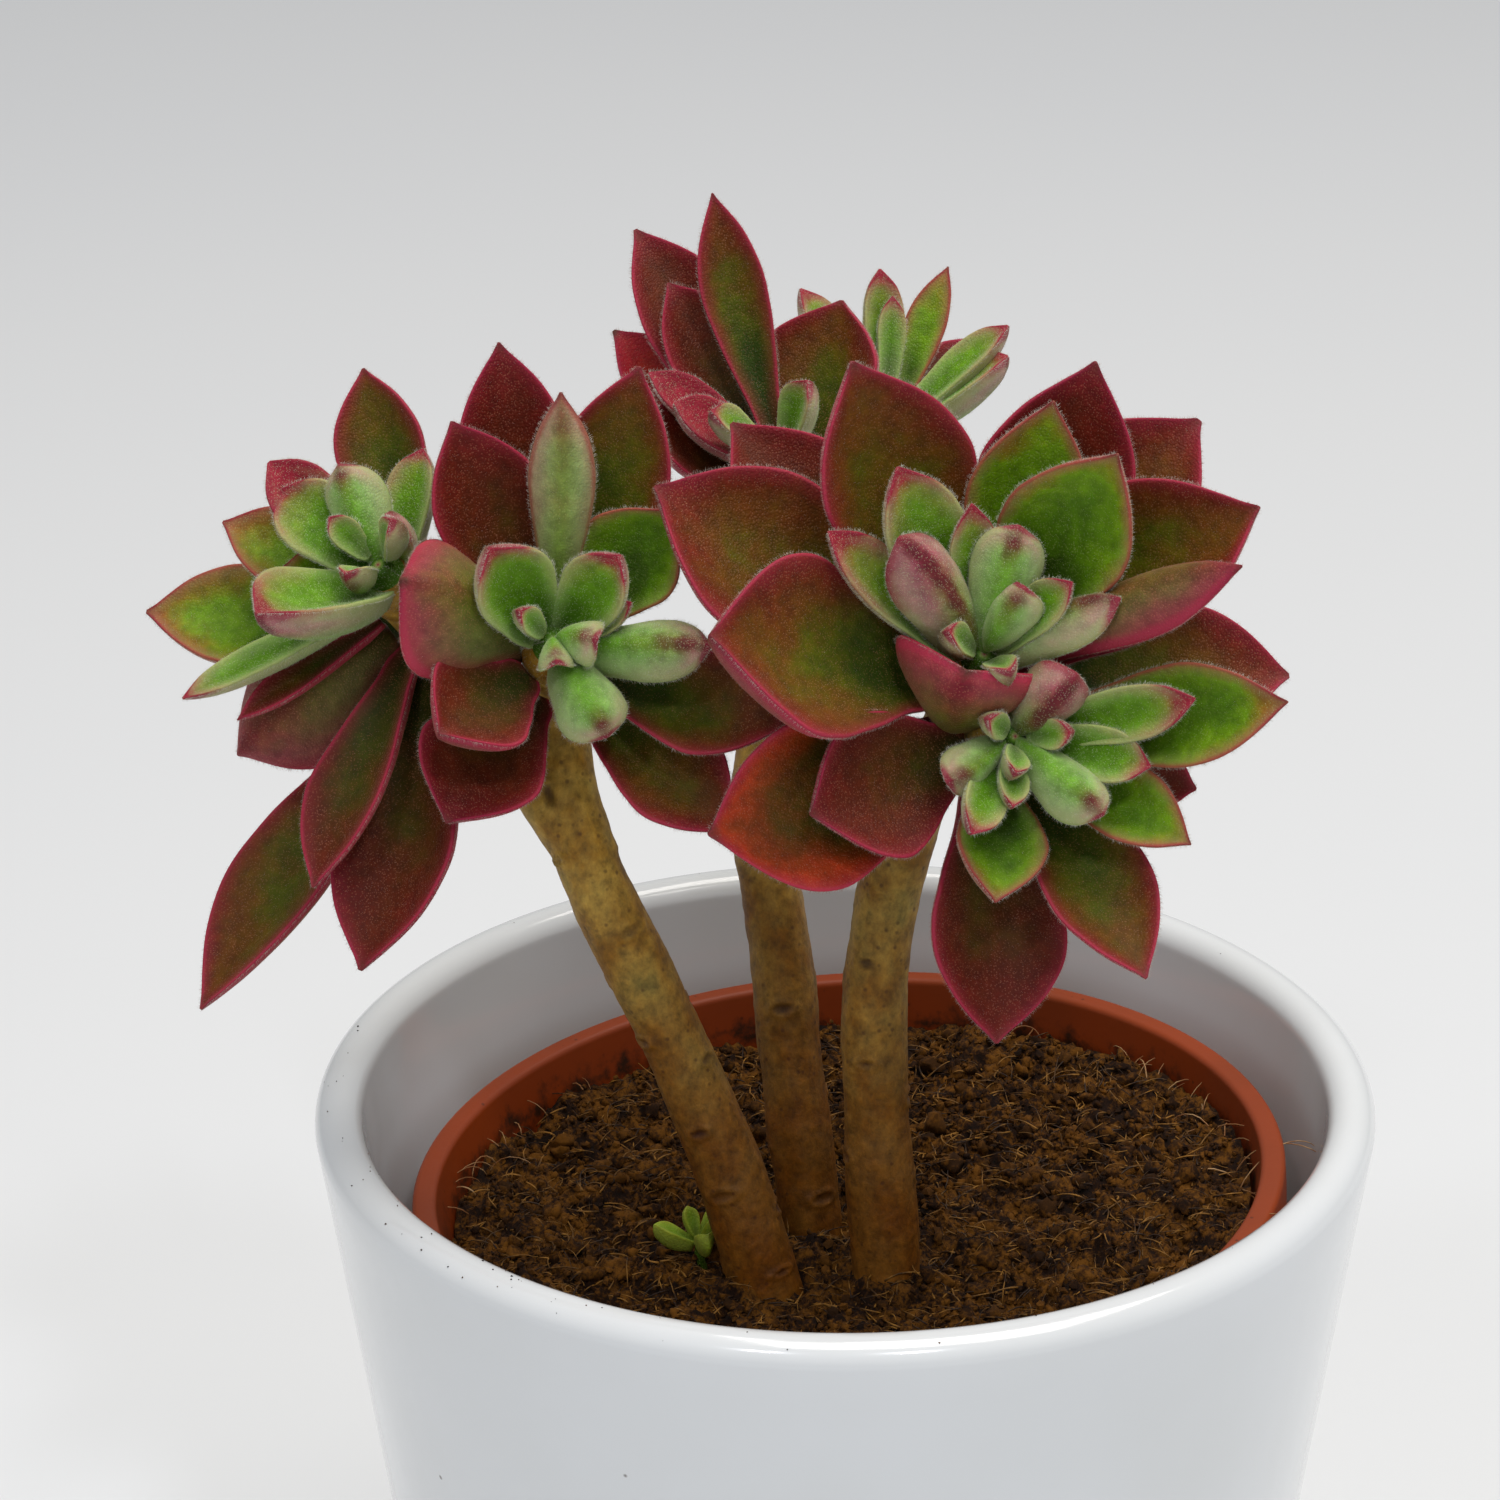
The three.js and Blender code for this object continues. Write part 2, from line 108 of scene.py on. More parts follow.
def smooth(points, at):
    # a soft curve through (place, value) pairs
    x, y = np.array(points, float).T
    slope = np.gradient(y, x)
    at = np.clip(at, x[0], x[-1])
    spot = np.clip(np.searchsorted(x, at) - 1, 0, len(x) - 2)
    gap = x[spot + 1] - x[spot]
    t = (at - x[spot]) / gap
    a, b = y[spot], y[spot + 1]
    m, n = slope[spot] * gap, slope[spot + 1] * gap
    return (
        (2 * t**3 - 3 * t**2 + 1) * a
        + (t**3 - 2 * t**2 + t) * m
        + (3 * t**2 - 2 * t**3) * b
        + (t**3 - t**2) * n
    )


def unit(vectors):
    size = np.linalg.norm(vectors, axis=-1, keepdims=True)
    return vectors / np.maximum(size, 1e-9)


def makePiece(name, points, faces, skin, stands=(), data=None):
    # points in metres; data holds one named value or vector for each point
    mesh = bpy.data.meshes.new(name)
    mesh.from_pydata(np.asarray(points).tolist(), [], faces)
    mesh.validate()
    mesh.shade_smooth()
    for label, values in (data or {}).items():
        kind, field = ("FLOAT_VECTOR", "vector") if values.ndim > 1 else ("FLOAT", "value")
        layer = mesh.attributes.new(label, kind, "POINT")
        layer.data.foreach_set(field, np.ascontiguousarray(values, np.float32).ravel())
    mesh.materials.append(skin)
    piece = bpy.data.objects.new(name, mesh)
    bpy.context.scene.collection.objects.link(piece)
    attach(piece, "root")
    if stands:
        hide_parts(*stands)
    return piece


def nodeMesh(name):
    # the CAD node with its shared corners joined
    mesh = bmesh.new()
    mesh.from_mesh(nodes[name].data)
    bmesh.ops.remove_doubles(mesh, verts=mesh.verts, dist=5e-6)
    mesh.verts.ensure_lookup_table()
    return mesh


def tubeFaces(rings, sides, first=0):
    # rings of points from end to end, then the two end points
    faces = []
    for ring in range(rings - 1):
        for side in range(sides):
            a = first + ring * sides + side
            b = first + ring * sides + (side + 1) % sides
            faces.append((a, b, b + sides, a + sides))
    start, end = first + rings * sides, first + rings * sides + 1
    last = first + (rings - 1) * sides
    for side in range(sides):
        faces.append((first + (side + 1) % sides, first + side, start))
        faces.append((last + side, last + (side + 1) % sides, end))
    return faces


def wave(points, size, height, octaves=3, shift=0):
    # soft noise with lumps of the given size
    offset = Vector((shift, shift * 1.7, shift * 0.6))
    return np.array([
        noise.fractal(Vector(point) / size + offset, 0.9, 2.1, octaves) for point in points
    ]) * height


# Stems: smooth skin with leaf scars.
stem = {
    "voxel": 0.45, "smoothing": 26,  # mm, passes
    "scarGap": 9, "scarWidth": 1.5, "scarHeight": 0.65, "scarRise": 0.25,  # mm
    "mostScars": 70, "scarStrength": (0.15, 0.9), "scarReach": 3.6, "grainReach": 7,  # reaches in mm
    "lumps": 15, "lumpHeight": 0.4, "wrinkles": 3.2, "wrinkleHeight": 0.05,  # mm
    "cork": ["#684006", "#8c6418", "#aa8838", "#8a7e3a"],
    # the foot's darker brown is partly real browning and partly painted shade
    "darkening": "#6e3a04", "darkeningTop": 0.18, "darkeningFoot": 0.12, "darkeningShare": 0.84,  # heights in metres
    "speck": "#3a1a0c", "scar": "#2c0e06",
    "patch": 9, "fine": 1.5, "specks": 1.9,  # mm across one patch, one grain and between specks
}


def stemSkin():
    # corky young bark: dull olive tan, with dark leaf scars; darker and browner towards the soil, partly
    # its own colour and partly painted shade
    skin, add = newMaterial("corkyStem")
    where = add("TexCoord").outputs["Object"]
    scar = add("Attribute", attribute_name="scar").outputs["Fac"]
    height = add("SeparateXYZ", {0: where}).outputs[2]
    squashed = add("Mapping", {"Vector": where, "Scale": (1, 1, 0.8)})
    patches = add(
        "TexNoise", {"Vector": squashed, "Scale": 1000 / stem["patch"], "Detail": 5, "Roughness": 0.62}
    )
    fine = add(
        "TexNoise", {"Vector": squashed, "Scale": 1000 / stem["fine"], "Detail": 5, "Roughness": 0.7}
    )
    specks = add("TexVoronoi", {"Vector": where, "Scale": 1000 / stem["specks"]})
    colour = add("ValToRGB", {0: patches}, stops=list(zip((0.28, 0.42, 0.56, 0.72), stem["cork"])))
    # painted shade, partly real browning: darker towards the soil, where the stem's foot lies in shade
    darkening = add(
        "MapRange", {0: height, 1: stem["darkeningTop"], 2: stem["darkeningFoot"], 3: 0.0, 4: stem["darkeningShare"]},
        interpolation_type="SMOOTHSTEP",
    )
    colour = add("Mix", {0: darkening, 6: colour, 7: stem["darkening"]}, data_type="RGBA")
    shade = add("MapRange", {0: fine, 1: 0.3, 2: 0.7, 3: 0.5, 4: 1.45})
    colour = add("Mix", {0: 1.0, 6: colour, 7: shade}, data_type="RGBA", blend_type="MULTIPLY")
    dot = add("MapRange", {0: specks, 1: 0.2, 2: 0.08, 3: 0.0, 4: 0.55})
    colour = add("Mix", {0: dot, 6: colour, 7: stem["speck"]}, data_type="RGBA")
    colour = add("Mix", {0: scar, 6: colour, 7: stem["scar"]}, data_type="RGBA")
    bump = add("Bump", {"Height": fine, "Strength": 0.6, "Distance": 0.35 * mm})
    shader = add("BsdfPrincipled", {
        "Base Color": colour, "Roughness": 0.55, "Normal": bump, "Specular IOR Level": 0.3,
    })
    add("OutputMaterial", {"Surface": shader})
    return skin


def growStem(name, skin):
    # the CAD stem, softened, with lumps, wrinkles and raised leaf scars
    body = bpy.data.objects.new(f"{name}_rough", nodes[name].data.copy())
    bpy.context.scene.collection.objects.link(body)
    remesh = body.modifiers.new("cells", "REMESH")
    remesh.mode, remesh.voxel_size = "VOXEL", stem["voxel"] * mm
    soften = body.modifiers.new("soften", "SMOOTH")
    soften.factor, soften.iterations = 0.5, stem["smoothing"]
    bpy.context.view_layer.update()
    made = body.evaluated_get(bpy.context.evaluated_depsgraph_get()).to_mesh()
    count = len(made.vertices)
    points, normals = np.empty(count * 3), np.empty(count * 3)
    made.vertices.foreach_get("co", points)
    made.vertices.foreach_get("normal", normals)
    points, normals = points.reshape(-1, 3), normals.reshape(-1, 3)
    faces = [tuple(face.vertices) for face in made.polygons]
    body.to_mesh_clear()
    bpy.data.objects.remove(body)

    tree = KDTree(count)
    for index, point in enumerate(points):
        tree.insert(point, index)
    tree.balance()
    shift = wave(points, stem["lumps"] * mm, stem["lumpHeight"] * mm)
    squashed = points * np.array([1, 1, 3.2])
    shift += wave(squashed, stem["wrinkles"] * mm, stem["wrinkleHeight"] * mm, 2, 5)
    scar = np.zeros(count)
    taken = []
    for index in dice.permutation(count):
        centre = points[index]
        if any(np.linalg.norm(centre - other) < stem["scarGap"] * mm for other in taken):
            continue
        if len(taken) > stem["mostScars"]:
            break
        taken.append(centre)
        near = [i for _, i, _ in tree.find_range(Vector(centre), stem["grainReach"] * mm)]
        cloud = points[near] - points[near].mean(0)
        along = np.linalg.eigh(cloud.T @ cloud)[1][:, 2]
        around = np.cross(normals[index], along)
        wide = stem["scarWidth"] * dice.uniform(0.8, 1.25)
        tall = stem["scarHeight"] * dice.uniform(0.7, 1.5)
        mark = dice.uniform(*stem["scarStrength"])
        near = [i for _, i, _ in tree.find_range(Vector(centre), stem["scarReach"] * mm)]
        off = (points[near] - centre) / mm
        reach = np.sqrt((off @ around / wide) ** 2 + (off @ along / tall) ** 2)
        ridge = np.exp(-(((reach - 1.15) / 0.35) ** 2)) - 0.8 * np.exp(-((reach / 0.75) ** 2))
        shift[near] += stem["scarRise"] * mm * ridge
        scar[near] = np.maximum(scar[near], mark * np.exp(-((reach / 0.85) ** 4)))
    points = points + normals * shift[:, None]
    return makePiece(f"{name}_bark", points, faces, skin, [name], {"scar": scar})


bark = stemSkin()
for name in stemNames:
    growStem(name, bark)
print("stems grown")


# Finishes of the leaves. Each is a velvety skin: short hairs scatter light, so it has a sheen and
# hardly any gloss. The ripe colours run from the green heart to the flushed margin and tip.
# Painted light in these finishes: the base shade darkens the crowded leaf base as painted shade; the band
# inside the margin is partly the denser hairs' colour, partly painted sheen; the underside's pale frost is
# partly painted sheen.
leafLooks = {
    "green": {
        "ripe": ["#345002", "#4c7202", "#668a08", "#806018", "#842420"],
        "rim": "#9c3c3c", "rimTip": "#8c2838", "under": "#7a9440", "underTip": "#8c3c3c",
        "velvet": "#c4cc84", "paintedSheen": "#b8b878", "paintedSheenShare": 0.25,
        "redTip": 0.5, "baseShade": 0.68, "paleHairsAndSheen": 0.2, "dryTip": 0.5,
        "sheen": 0.25, "rimShare": 0.75, "keel": 0.4, "hair": 0.3,
    },
    "olive": {
        "ripe": ["#324602", "#4e5202", "#5e3c04", "#66240c", "#7a1c24"],
        "rim": "#a83048", "rimTip": "#962440", "under": "#56641a", "underTip": "#7c1628",
        "velvet": "#d89c74", "paintedSheen": "#a0303c", "paintedSheenShare": 0.34,
        "redTip": 0.3, "baseShade": 0.6, "paleHairsAndSheen": 0.05, "dryTip": 0.6,
        "sheen": 0.24, "rimShare": 0.85, "keel": 0.35, "hair": 0.6,
    },
    "maroon": {
        "ripe": ["#3a3e02", "#4a3202", "#562006", "#5e160a", "#70161c"],
        "rim": "#a82c46", "rimTip": "#962040", "under": "#5a5418", "underTip": "#761426",
        "velvet": "#d89070", "paintedSheen": "#9c2c3c", "paintedSheenShare": 0.3,
        "redTip": 0.3, "baseShade": 0.6, "paleHairsAndSheen": 0.05, "dryTip": 0.6,
        "sheen": 0.24, "rimShare": 0.85, "keel": 0.35, "hair": 0.75,
    },
    "red": {
        "ripe": ["#303c02", "#463c02", "#6e3404", "#a43410", "#9a1c24"],
        "rim": "#b4344c", "rimTip": "#a02844", "under": "#586018", "underTip": "#7c1428",
        "velvet": "#dc9470", "paintedSheen": "#b83444", "paintedSheenShare": 0.34,
        "redTip": 0.3, "baseShade": 0.5, "paleHairsAndSheen": 0.05, "dryTip": 0.9,
        "sheen": 0.24, "rimShare": 0.85, "keel": 0.35, "hair": 0.7,
    },
    "young": {
        "ripe": ["#3e6604", "#4e7a06", "#5e8a10", "#7a8030", "#8a1a2c"],
        "rim": "#a8bc78", "rimTip": "#942c40", "under": "#66962a", "underTip": "#8a2840",
        "velvet": "#d8e6b0", "paintedSheen": "#ccdc9c", "paintedSheenShare": 0.24,
        "redTip": 1.05, "baseShade": 0.78, "paleHairsAndSheen": 0.2, "dryTip": 0.0,
        "sheen": 0.28, "rimShare": 0.5, "keel": 0.9, "hair": 0.08,
    },
    "seedling": {
        "ripe": ["#466404", "#5a7a08", "#6e8a10", "#80901a", "#8a9422"],
        "rim": "#98a438", "rimTip": "#98a438", "under": "#7c901c", "underTip": "#869824",
        "velvet": "#bcc870", "paintedSheen": "#a4b048", "paintedSheenShare": 0.2,
        "redTip": 0.0, "baseShade": 0.7, "paleHairsAndSheen": 0.03, "dryTip": 0.0,
        "sheen": 0.08, "rimShare": 0.3, "keel": 0.0, "hair": 0.0,
    },
}
# how much riper (redder) or greener single leaves are than their finish
leafMoods = {
    "right": (0.02, 0.04, -0.06, 0.02, 0.12, -0.1, -0.12, 0.08, -0.06, 0.0, 0.02, 0.1),
    "lower_right": (0.08, -0.04, -0.12, 0.04, -0.1, 0.1, -0.1, -0.08),
    "inner_left": (0.08, 0.1, -0.06, -0.08, -0.18, 0.0, 0.0, 0.12, -0.02, 0.04),
    "outer_left": (-0.02, 0.02, -0.12, -0.1, -0.1, 0.12, -0.14, 0.0, -0.08),
    "back_left": (0.02, -0.06, 0.02, 0.45, -0.02, 0.1),
    "back_right": (0.0, 0.05),
}
# leaves shown wider or narrower than their CAD shape
leafWider = {
    "leaf_right_12": 1.5, "leaf_outer_left_06": 1.6, "leaf_outer_left_05": 0.62,
    "leaf_inner_left_06": 1.2, "leaf_lower_right_01": 1.12, "leaf_right_02": 1.1,
}
leafTurns = {"leaf_right_12": 22, "leaf_inner_left_06": 20}  # degrees about the long axis
leafBends = {  # sideways, as a share of the length
    "leaf_outer_left_08": 0.05, "leaf_outer_left_09": -0.06, "leaf_outer_left_07": 0.04,
    "leaf_right_08": 0.04, "leaf_right_09": 0.04, "leaf_lower_right_08": 0.04,
}
leafSkinScale = {
    "cloud": 7, "mottle": 1.7, "stipple": 0.3,  # mm across one lump, blot or hair root
    "rimWidth": 0.55, "paintedSheenWidth": 2.6,  # mm
    "roughness": 0.55, "bump": 0.35,
    "paleHairsAndSheen": "#d8d2c0", "keel": "#5c1420", "dry": "#4a3024",
}


def leafSkin(name, look):
    size = leafSkinScale
    skin, add = newMaterial(name)
    place = add("Attribute", attribute_name="leafPlace")
    along, inward, under = add("SeparateXYZ", {0: place.outputs["Vector"]}).outputs
    extra = add("Attribute", attribute_name="leafTone")
    tone, midrib, edge = add("SeparateXYZ", {0: extra.outputs["Vector"]}).outputs
    where = add("TexCoord").outputs["Object"]
    cloud = add("TexNoise", {"Vector": where, "Scale": 1000 / size["cloud"], "Detail": 4, "Roughness": 0.6})
    mottle = add(
        "TexNoise", {"Vector": where, "Scale": 1000 / size["mottle"], "Detail": 4, "Roughness": 0.6}
    )
    roots = add("TexVoronoi", {"Vector": where, "Scale": 1000 / size["stipple"]})

    # ripeness: towards the tip, towards the margin, in clouds, and by leaf
    ripe = add("Math", {0: cloud, 1: 0.75, 2: -0.42}, operation="MULTIPLY_ADD")
    ripe = add("Math", {0: along, 1: 0.72, 2: ripe}, operation="MULTIPLY_ADD")
    outer = add("Math", {0: edge, 1: 2.5}, operation="POWER")
    ripe = add("Math", {0: outer, 1: 0.48, 2: ripe}, operation="MULTIPLY_ADD")
    ripe = add("Math", {0: ripe, 1: tone}, operation="ADD")
    point = add("Math", {0: along, 1: 13.0}, operation="POWER")
    ripe = add("Math", {0: point, 1: look["redTip"], 2: ripe}, operation="MULTIPLY_ADD")
    top = add("ValToRGB", {0: ripe}, stops=list(zip((0.12, 0.3, 0.5, 0.74, 1.0), look["ripe"])))

    # underside: paler, flushed towards the tip, with a dark red line along the keel; its pale hairs are
    # partly painted sheen
    flush = add("MapRange", {0: ripe, 1: 0.3, 2: 0.95}, interpolation_type="SMOOTHSTEP")
    below = add("Mix", {0: flush, 6: look["under"], 7: look["underTip"]}, data_type="RGBA")
    ragged = add("Math", {0: mottle, 1: 1.2, 2: midrib}, operation="MULTIPLY_ADD")
    keel = add("MapRange", {0: ragged, 1: 2.3, 2: 1.0}, interpolation_type="SMOOTHSTEP")
    keel = add("Math", {0: keel, 1: look["keel"]}, operation="MULTIPLY")
    keelward = add("MapRange", {0: ripe, 1: 0.12, 2: 0.6})
    keel = add("Math", {0: keel, 1: keelward}, operation="MULTIPLY")
    # painted sheen, partly real: pale hairs whiten the underside away from the keel
    paleHairsAndSheen = add("MapRange", {0: edge, 1: 0.1, 2: 0.7, 3: 0.0, 4: look["paleHairsAndSheen"]})
    below = add("Mix", {0: paleHairsAndSheen, 6: below, 7: size["paleHairsAndSheen"]}, data_type="RGBA")
    below = add("Mix", {0: keel, 6: below, 7: size["keel"]}, data_type="RGBA")
    colour = add("Mix", {0: under, 6: top, 7: below}, data_type="RGBA")

    # blotches of lighter and darker skin, painted shade at the base, the pale hair roots, painted sheen,
    # the rim
    shade = add("MapRange", {0: mottle, 1: 0.3, 2: 0.7, 3: 0.74, 4: 1.28})
    colour = add("Mix", {0: 1.0, 6: colour, 7: shade}, data_type="RGBA", blend_type="MULTIPLY")
    # painted shade: the base is darker where the crowded leaves shade it
    paintedBaseShade = add(
        "MapRange", {0: along, 1: 0.05, 2: 0.6, 3: look["baseShade"], 4: 1.06},
        interpolation_type="SMOOTHSTEP",
    )
    colour = add("Mix", {0: 1.0, 6: colour, 7: paintedBaseShade}, data_type="RGBA", blend_type="MULTIPLY")
    patchy = add("MapRange", {0: cloud, 1: 0.35, 2: 0.7, 3: 0.1, 4: 0.34})
    dot = add("MapRange", {0: roots, 1: 0.4, 2: 0.1, 3: 0.0, 4: patchy}, interpolation_type="SMOOTHSTEP")
    colour = add("Mix", {0: dot, 6: colour, 7: look["velvet"]}, data_type="RGBA")
    # painted sheen: a pale or flushed band inside the margin, partly the colour of the denser margin hairs
    ragged = add("Math", {0: mottle, 1: 0.35, 2: inward}, operation="MULTIPLY_ADD")
    paintedSheen = add(
        "MapRange", {0: ragged, 1: size["paintedSheenWidth"], 2: 0.3, 3: 0.0, 4: look["paintedSheenShare"]},
        interpolation_type="SMOOTHSTEP",
    )
    late = add("MapRange", {0: ripe, 1: 1.0, 2: 1.3})
    paintedSheenColour = add("Mix", {0: late, 6: look["paintedSheen"], 7: look["rimTip"]}, data_type="RGBA")
    colour = add("Mix", {0: paintedSheen, 6: colour, 7: paintedSheenColour}, data_type="RGBA")
    rim = add(
        "MapRange", {0: ragged, 1: size["rimWidth"] + 0.35, 2: 0.3, 3: 0.0, 4: look["rimShare"]},
        interpolation_type="SMOOTHSTEP",
    )
    edging = add("Mix", {0: late, 6: look["rim"], 7: look["rimTip"]}, data_type="RGBA")
    colour = add("Mix", {0: rim, 6: colour, 7: edging}, data_type="RGBA")

    # the very tip dries up brown
    dry = add("Math", {0: mottle, 1: 0.1, 2: along}, operation="MULTIPLY_ADD")
    dry = add("MapRange", {0: dry, 1: 1.0, 2: 1.05, 3: 0.0, 4: look["dryTip"]})
    colour = add("Mix", {0: dry, 6: colour, 7: size["dry"]}, data_type="RGBA")

    grain = add("Math", {0: mottle, 1: 0.8, 2: roots}, operation="MULTIPLY_ADD")
    bump = add("Bump", {"Height": grain, "Strength": size["bump"], "Distance": 0.25 * mm})
    shader = add("BsdfPrincipled", {
        "Base Color": colour, "Roughness": size["roughness"], "Normal": bump,
        "Subsurface Weight": 0.15, "Subsurface Radius": (1.5 * mm, 0.8 * mm, 0.3 * mm),
        "Subsurface Scale": 1.0, "Specular IOR Level": 0.25, "IOR": 1.42,
        "Sheen Weight": look["sheen"], "Sheen Roughness": 0.4, "Sheen Tint": look["velvet"],
    })
    add("OutputMaterial", {"Surface": shader})
    return skin


leafSkins = {name: leafSkin(f"velvetLeaf{name.title()}", look) for name, look in leafLooks.items()}
print("leaf finishes made")

# Leaf shape: outlines give half width and thickness as shares along the leaf.
leafForm = {
    "grown": {
        "width": [(0, 0.24), (0.03, 0.33), (0.18, 0.5), (0.38, 0.79), (0.55, 0.975), (0.63, 1),
                  (0.76, 0.86), (0.86, 0.6), (0.93, 0.32), (0.97, 0.14), (1, 0.03)],
        "thick": [(0, 0.5), (0.18, 0.9), (0.38, 1), (0.58, 0.96), (0.76, 0.82), (0.91, 0.52),
                  (0.97, 0.28), (1, 0.08)],
        "stations": 60, "sides": 40,
    },
    "young": {
        "width": [(0, 0.3), (0.08, 0.5), (0.4, 0.86), (0.66, 1), (0.8, 0.88), (0.9, 0.6),
                  (0.96, 0.28), (1, 0.05)],
        "thick": [(0, 0.6), (0.4, 1), (0.7, 0.88), (0.9, 0.55), (0.97, 0.28), (1, 0.08)],
        "stations": 38, "sides": 28,
    },
    "above": 0.26, "below": 0.78,  # share of the thickness over and under the margin
    "cup": 0.44,  # how far the margins lift, as a share of the half width
    "plump": 1.25,  # a grown leaf's thickness over that of its CAD shape
}


def leafThickness(width):
    return 1.2 + 0.16 * width  # mm


def leafGrid(length, width, curl, form, plump, wavy=1.0, lean=0.0):
    # rings of points in mm: base at the origin, tip along X, upper face to Z
    shape = leafForm[form]
    stations, sides = shape["stations"], shape["sides"]
    share = np.linspace(0, 1, stations)
    share = 1 - (1 - share) ** 1.35  # closer towards the tip
    half = smooth(shape["width"], share)[:, None] * width / 2
    thick = smooth(shape["thick"], share)[:, None] * leafThickness(width) * plump
    angle = np.linspace(0, 2 * math.pi, sides, endpoint=False)
    across, up = np.cos(angle)[None, :], np.sin(angle)[None, :]
    lay = share[:, None]
    keelShare = 0.1 + 0.4 * np.clip(lay * 1.3 - 0.2, 0, 1)
    rounded, sharp = np.abs(up) ** 0.75, (1 - np.abs(across)) ** 0.8
    under = (1 - keelShare) * rounded + keelShare * sharp
    dish = 0.1 * (1 - across**2) * np.sin(math.pi * lay)
    lift = np.where(
        up >= 0,
        thick * (leafForm["above"] * np.abs(up) ** 0.6 - dish),
        -thick * leafForm["below"] * under,
    )
    phase = dice.uniform(0, 6.28, 4)
    ripple = np.sin(9 * lay + phase[0]) * 0.6 + np.sin(21 * lay + phase[1]) * 0.4
    side = np.sign(across)
    lift = lift + leafForm["cup"] * half * across**2
    lift = lift + wavy * 0.012 * width * across**2 * ripple * np.sin(math.pi * lay)
    wobble = np.sin(14 * lay + phase[2] + side) + 0.5 * np.sin(33 * lay + phase[3] * side)
    spread = across * half + wavy * 0.004 * width * side * across**2 * wobble
    twist = np.radians(wavy * dice.uniform(-7, 7)) * (lay - 0.3)
    bend = (lean + wavy * dice.uniform(-0.02, 0.02)) * length * lay * (1 - lay) * 4
    y = spread * np.cos(twist) - lift * np.sin(twist) + bend
    z = spread * np.sin(twist) + lift * np.cos(twist)
    turn = math.radians(curl or 0.01)
    size = length / (2 * math.sin(turn / 2))
    swing = turn * (lay - 0.5)
    x = size * (math.sin(turn / 2) + np.sin(swing)) - z * np.sin(swing)
    height = size * (math.cos(turn / 2) - np.cos(swing)) + z * np.cos(swing)
    points = np.stack(np.broadcast_arrays(x, y, height), -1)
    inward = half * (1 - np.abs(across))
    place = np.stack(np.broadcast_arrays(lay, inward, up < -0.02), -1)
    rib = np.stack(np.broadcast_arrays(np.abs(across) * half, np.abs(across)), -1)
    rib = np.broadcast_to(rib, (*inward.shape, 2))
    return points, place, rib


class Foliage:
    # leaves gathered into one mesh, with what the skin needs to know at each point
    def __init__(self):
        self.points, self.faces, self.place, self.tone = [], [], [], []
        self.grids = []
        self.count = 0

    def add(self, grid, matrix, tone, hair):
        points, place, rib = grid
        stations, sides = points.shape[:2]
        turn = np.array(matrix.to_3x3())
        world = points @ turn.T * mm + np.array(matrix.translation)
        ends = [world[0].mean(0), world[-1].mean(0)]
        self.points += [world.reshape(-1, 3), np.array(ends)]
        self.faces += tubeFaces(stations, sides, self.count)
        self.place += [place.reshape(-1, 3), np.array([[0, 3, 0.5], [1, 0, 0.5]])]
        more = np.dstack([np.full((stations, sides), tone), rib]).reshape(-1, 3)
        self.tone += [more, np.array([[tone, 0, 0], [tone, 0, 1]])]
        self.count += stations * sides + 2
        self.grids.append((world, place, hair))

    def piece(self, name, skin, slot, stands):
        data = {
            "leafPlace": np.concatenate(self.place), "leafTone": np.concatenate(self.tone)
        }
        return makePiece(name, np.concatenate(self.points), self.faces, skin, stands, data)


def readLeaf(name):
    # where a CAD leaf lies: base, tip, upper side, width and curl
    mesh = nodeMesh(name)
    spots = np.array([v.co for v in mesh.verts])
    mesh.free()
    apart = np.linalg.norm(spots[:, None] - spots[None], axis=-1)
    one, other = np.unravel_index(apart.argmax(), apart.shape)
    ends = spots[[one, other]]
    rest = np.delete(spots, [one, other], 0)
    axis = unit(ends[1] - ends[0])
    reach = (rest - ends[0]) @ axis
    length = np.linalg.norm(ends[1] - ends[0])
    if reach.min() > length - reach.max():  # the first ring is close to the base
        ends, axis = ends[::-1], -axis
        reach = length - reach
    rings = rest[np.argsort(reach)].reshape(-1, 6, 3)
    widest = rings[3]
    gaps = np.linalg.norm(widest[:, None] - widest[None], axis=-1)
    left, right = np.unravel_index(gaps.argmax(), gaps.shape)
    middle = (widest[left] + widest[right]) / 2
    across = unit(widest[right] - widest[left])
    off = widest - middle
    off = off - (off @ across)[:, None] * across
    off = off - (off @ axis)[:, None] * axis
    keel = np.linalg.norm(off, axis=1).argmax()
    up = unit(-off[keel])
    up = unit(up - (up @ axis) * axis)
    across = np.cross(up, axis)
    width = gaps.max() / mm
    keelHeight = (widest[keel] - ends[0]) @ up / mm
    sag = keelHeight + leafForm["below"] * 0.92 * leafThickness(width)
    curl = math.degrees(4 * math.atan(-2 * sag / (length / mm)))
    matrix = Matrix.Translation(ends[0]) @ Matrix(
        [[axis[i], across[i], up[i]] for i in range(3)]
    ).to_4x4()
    return matrix, length / mm, width, curl


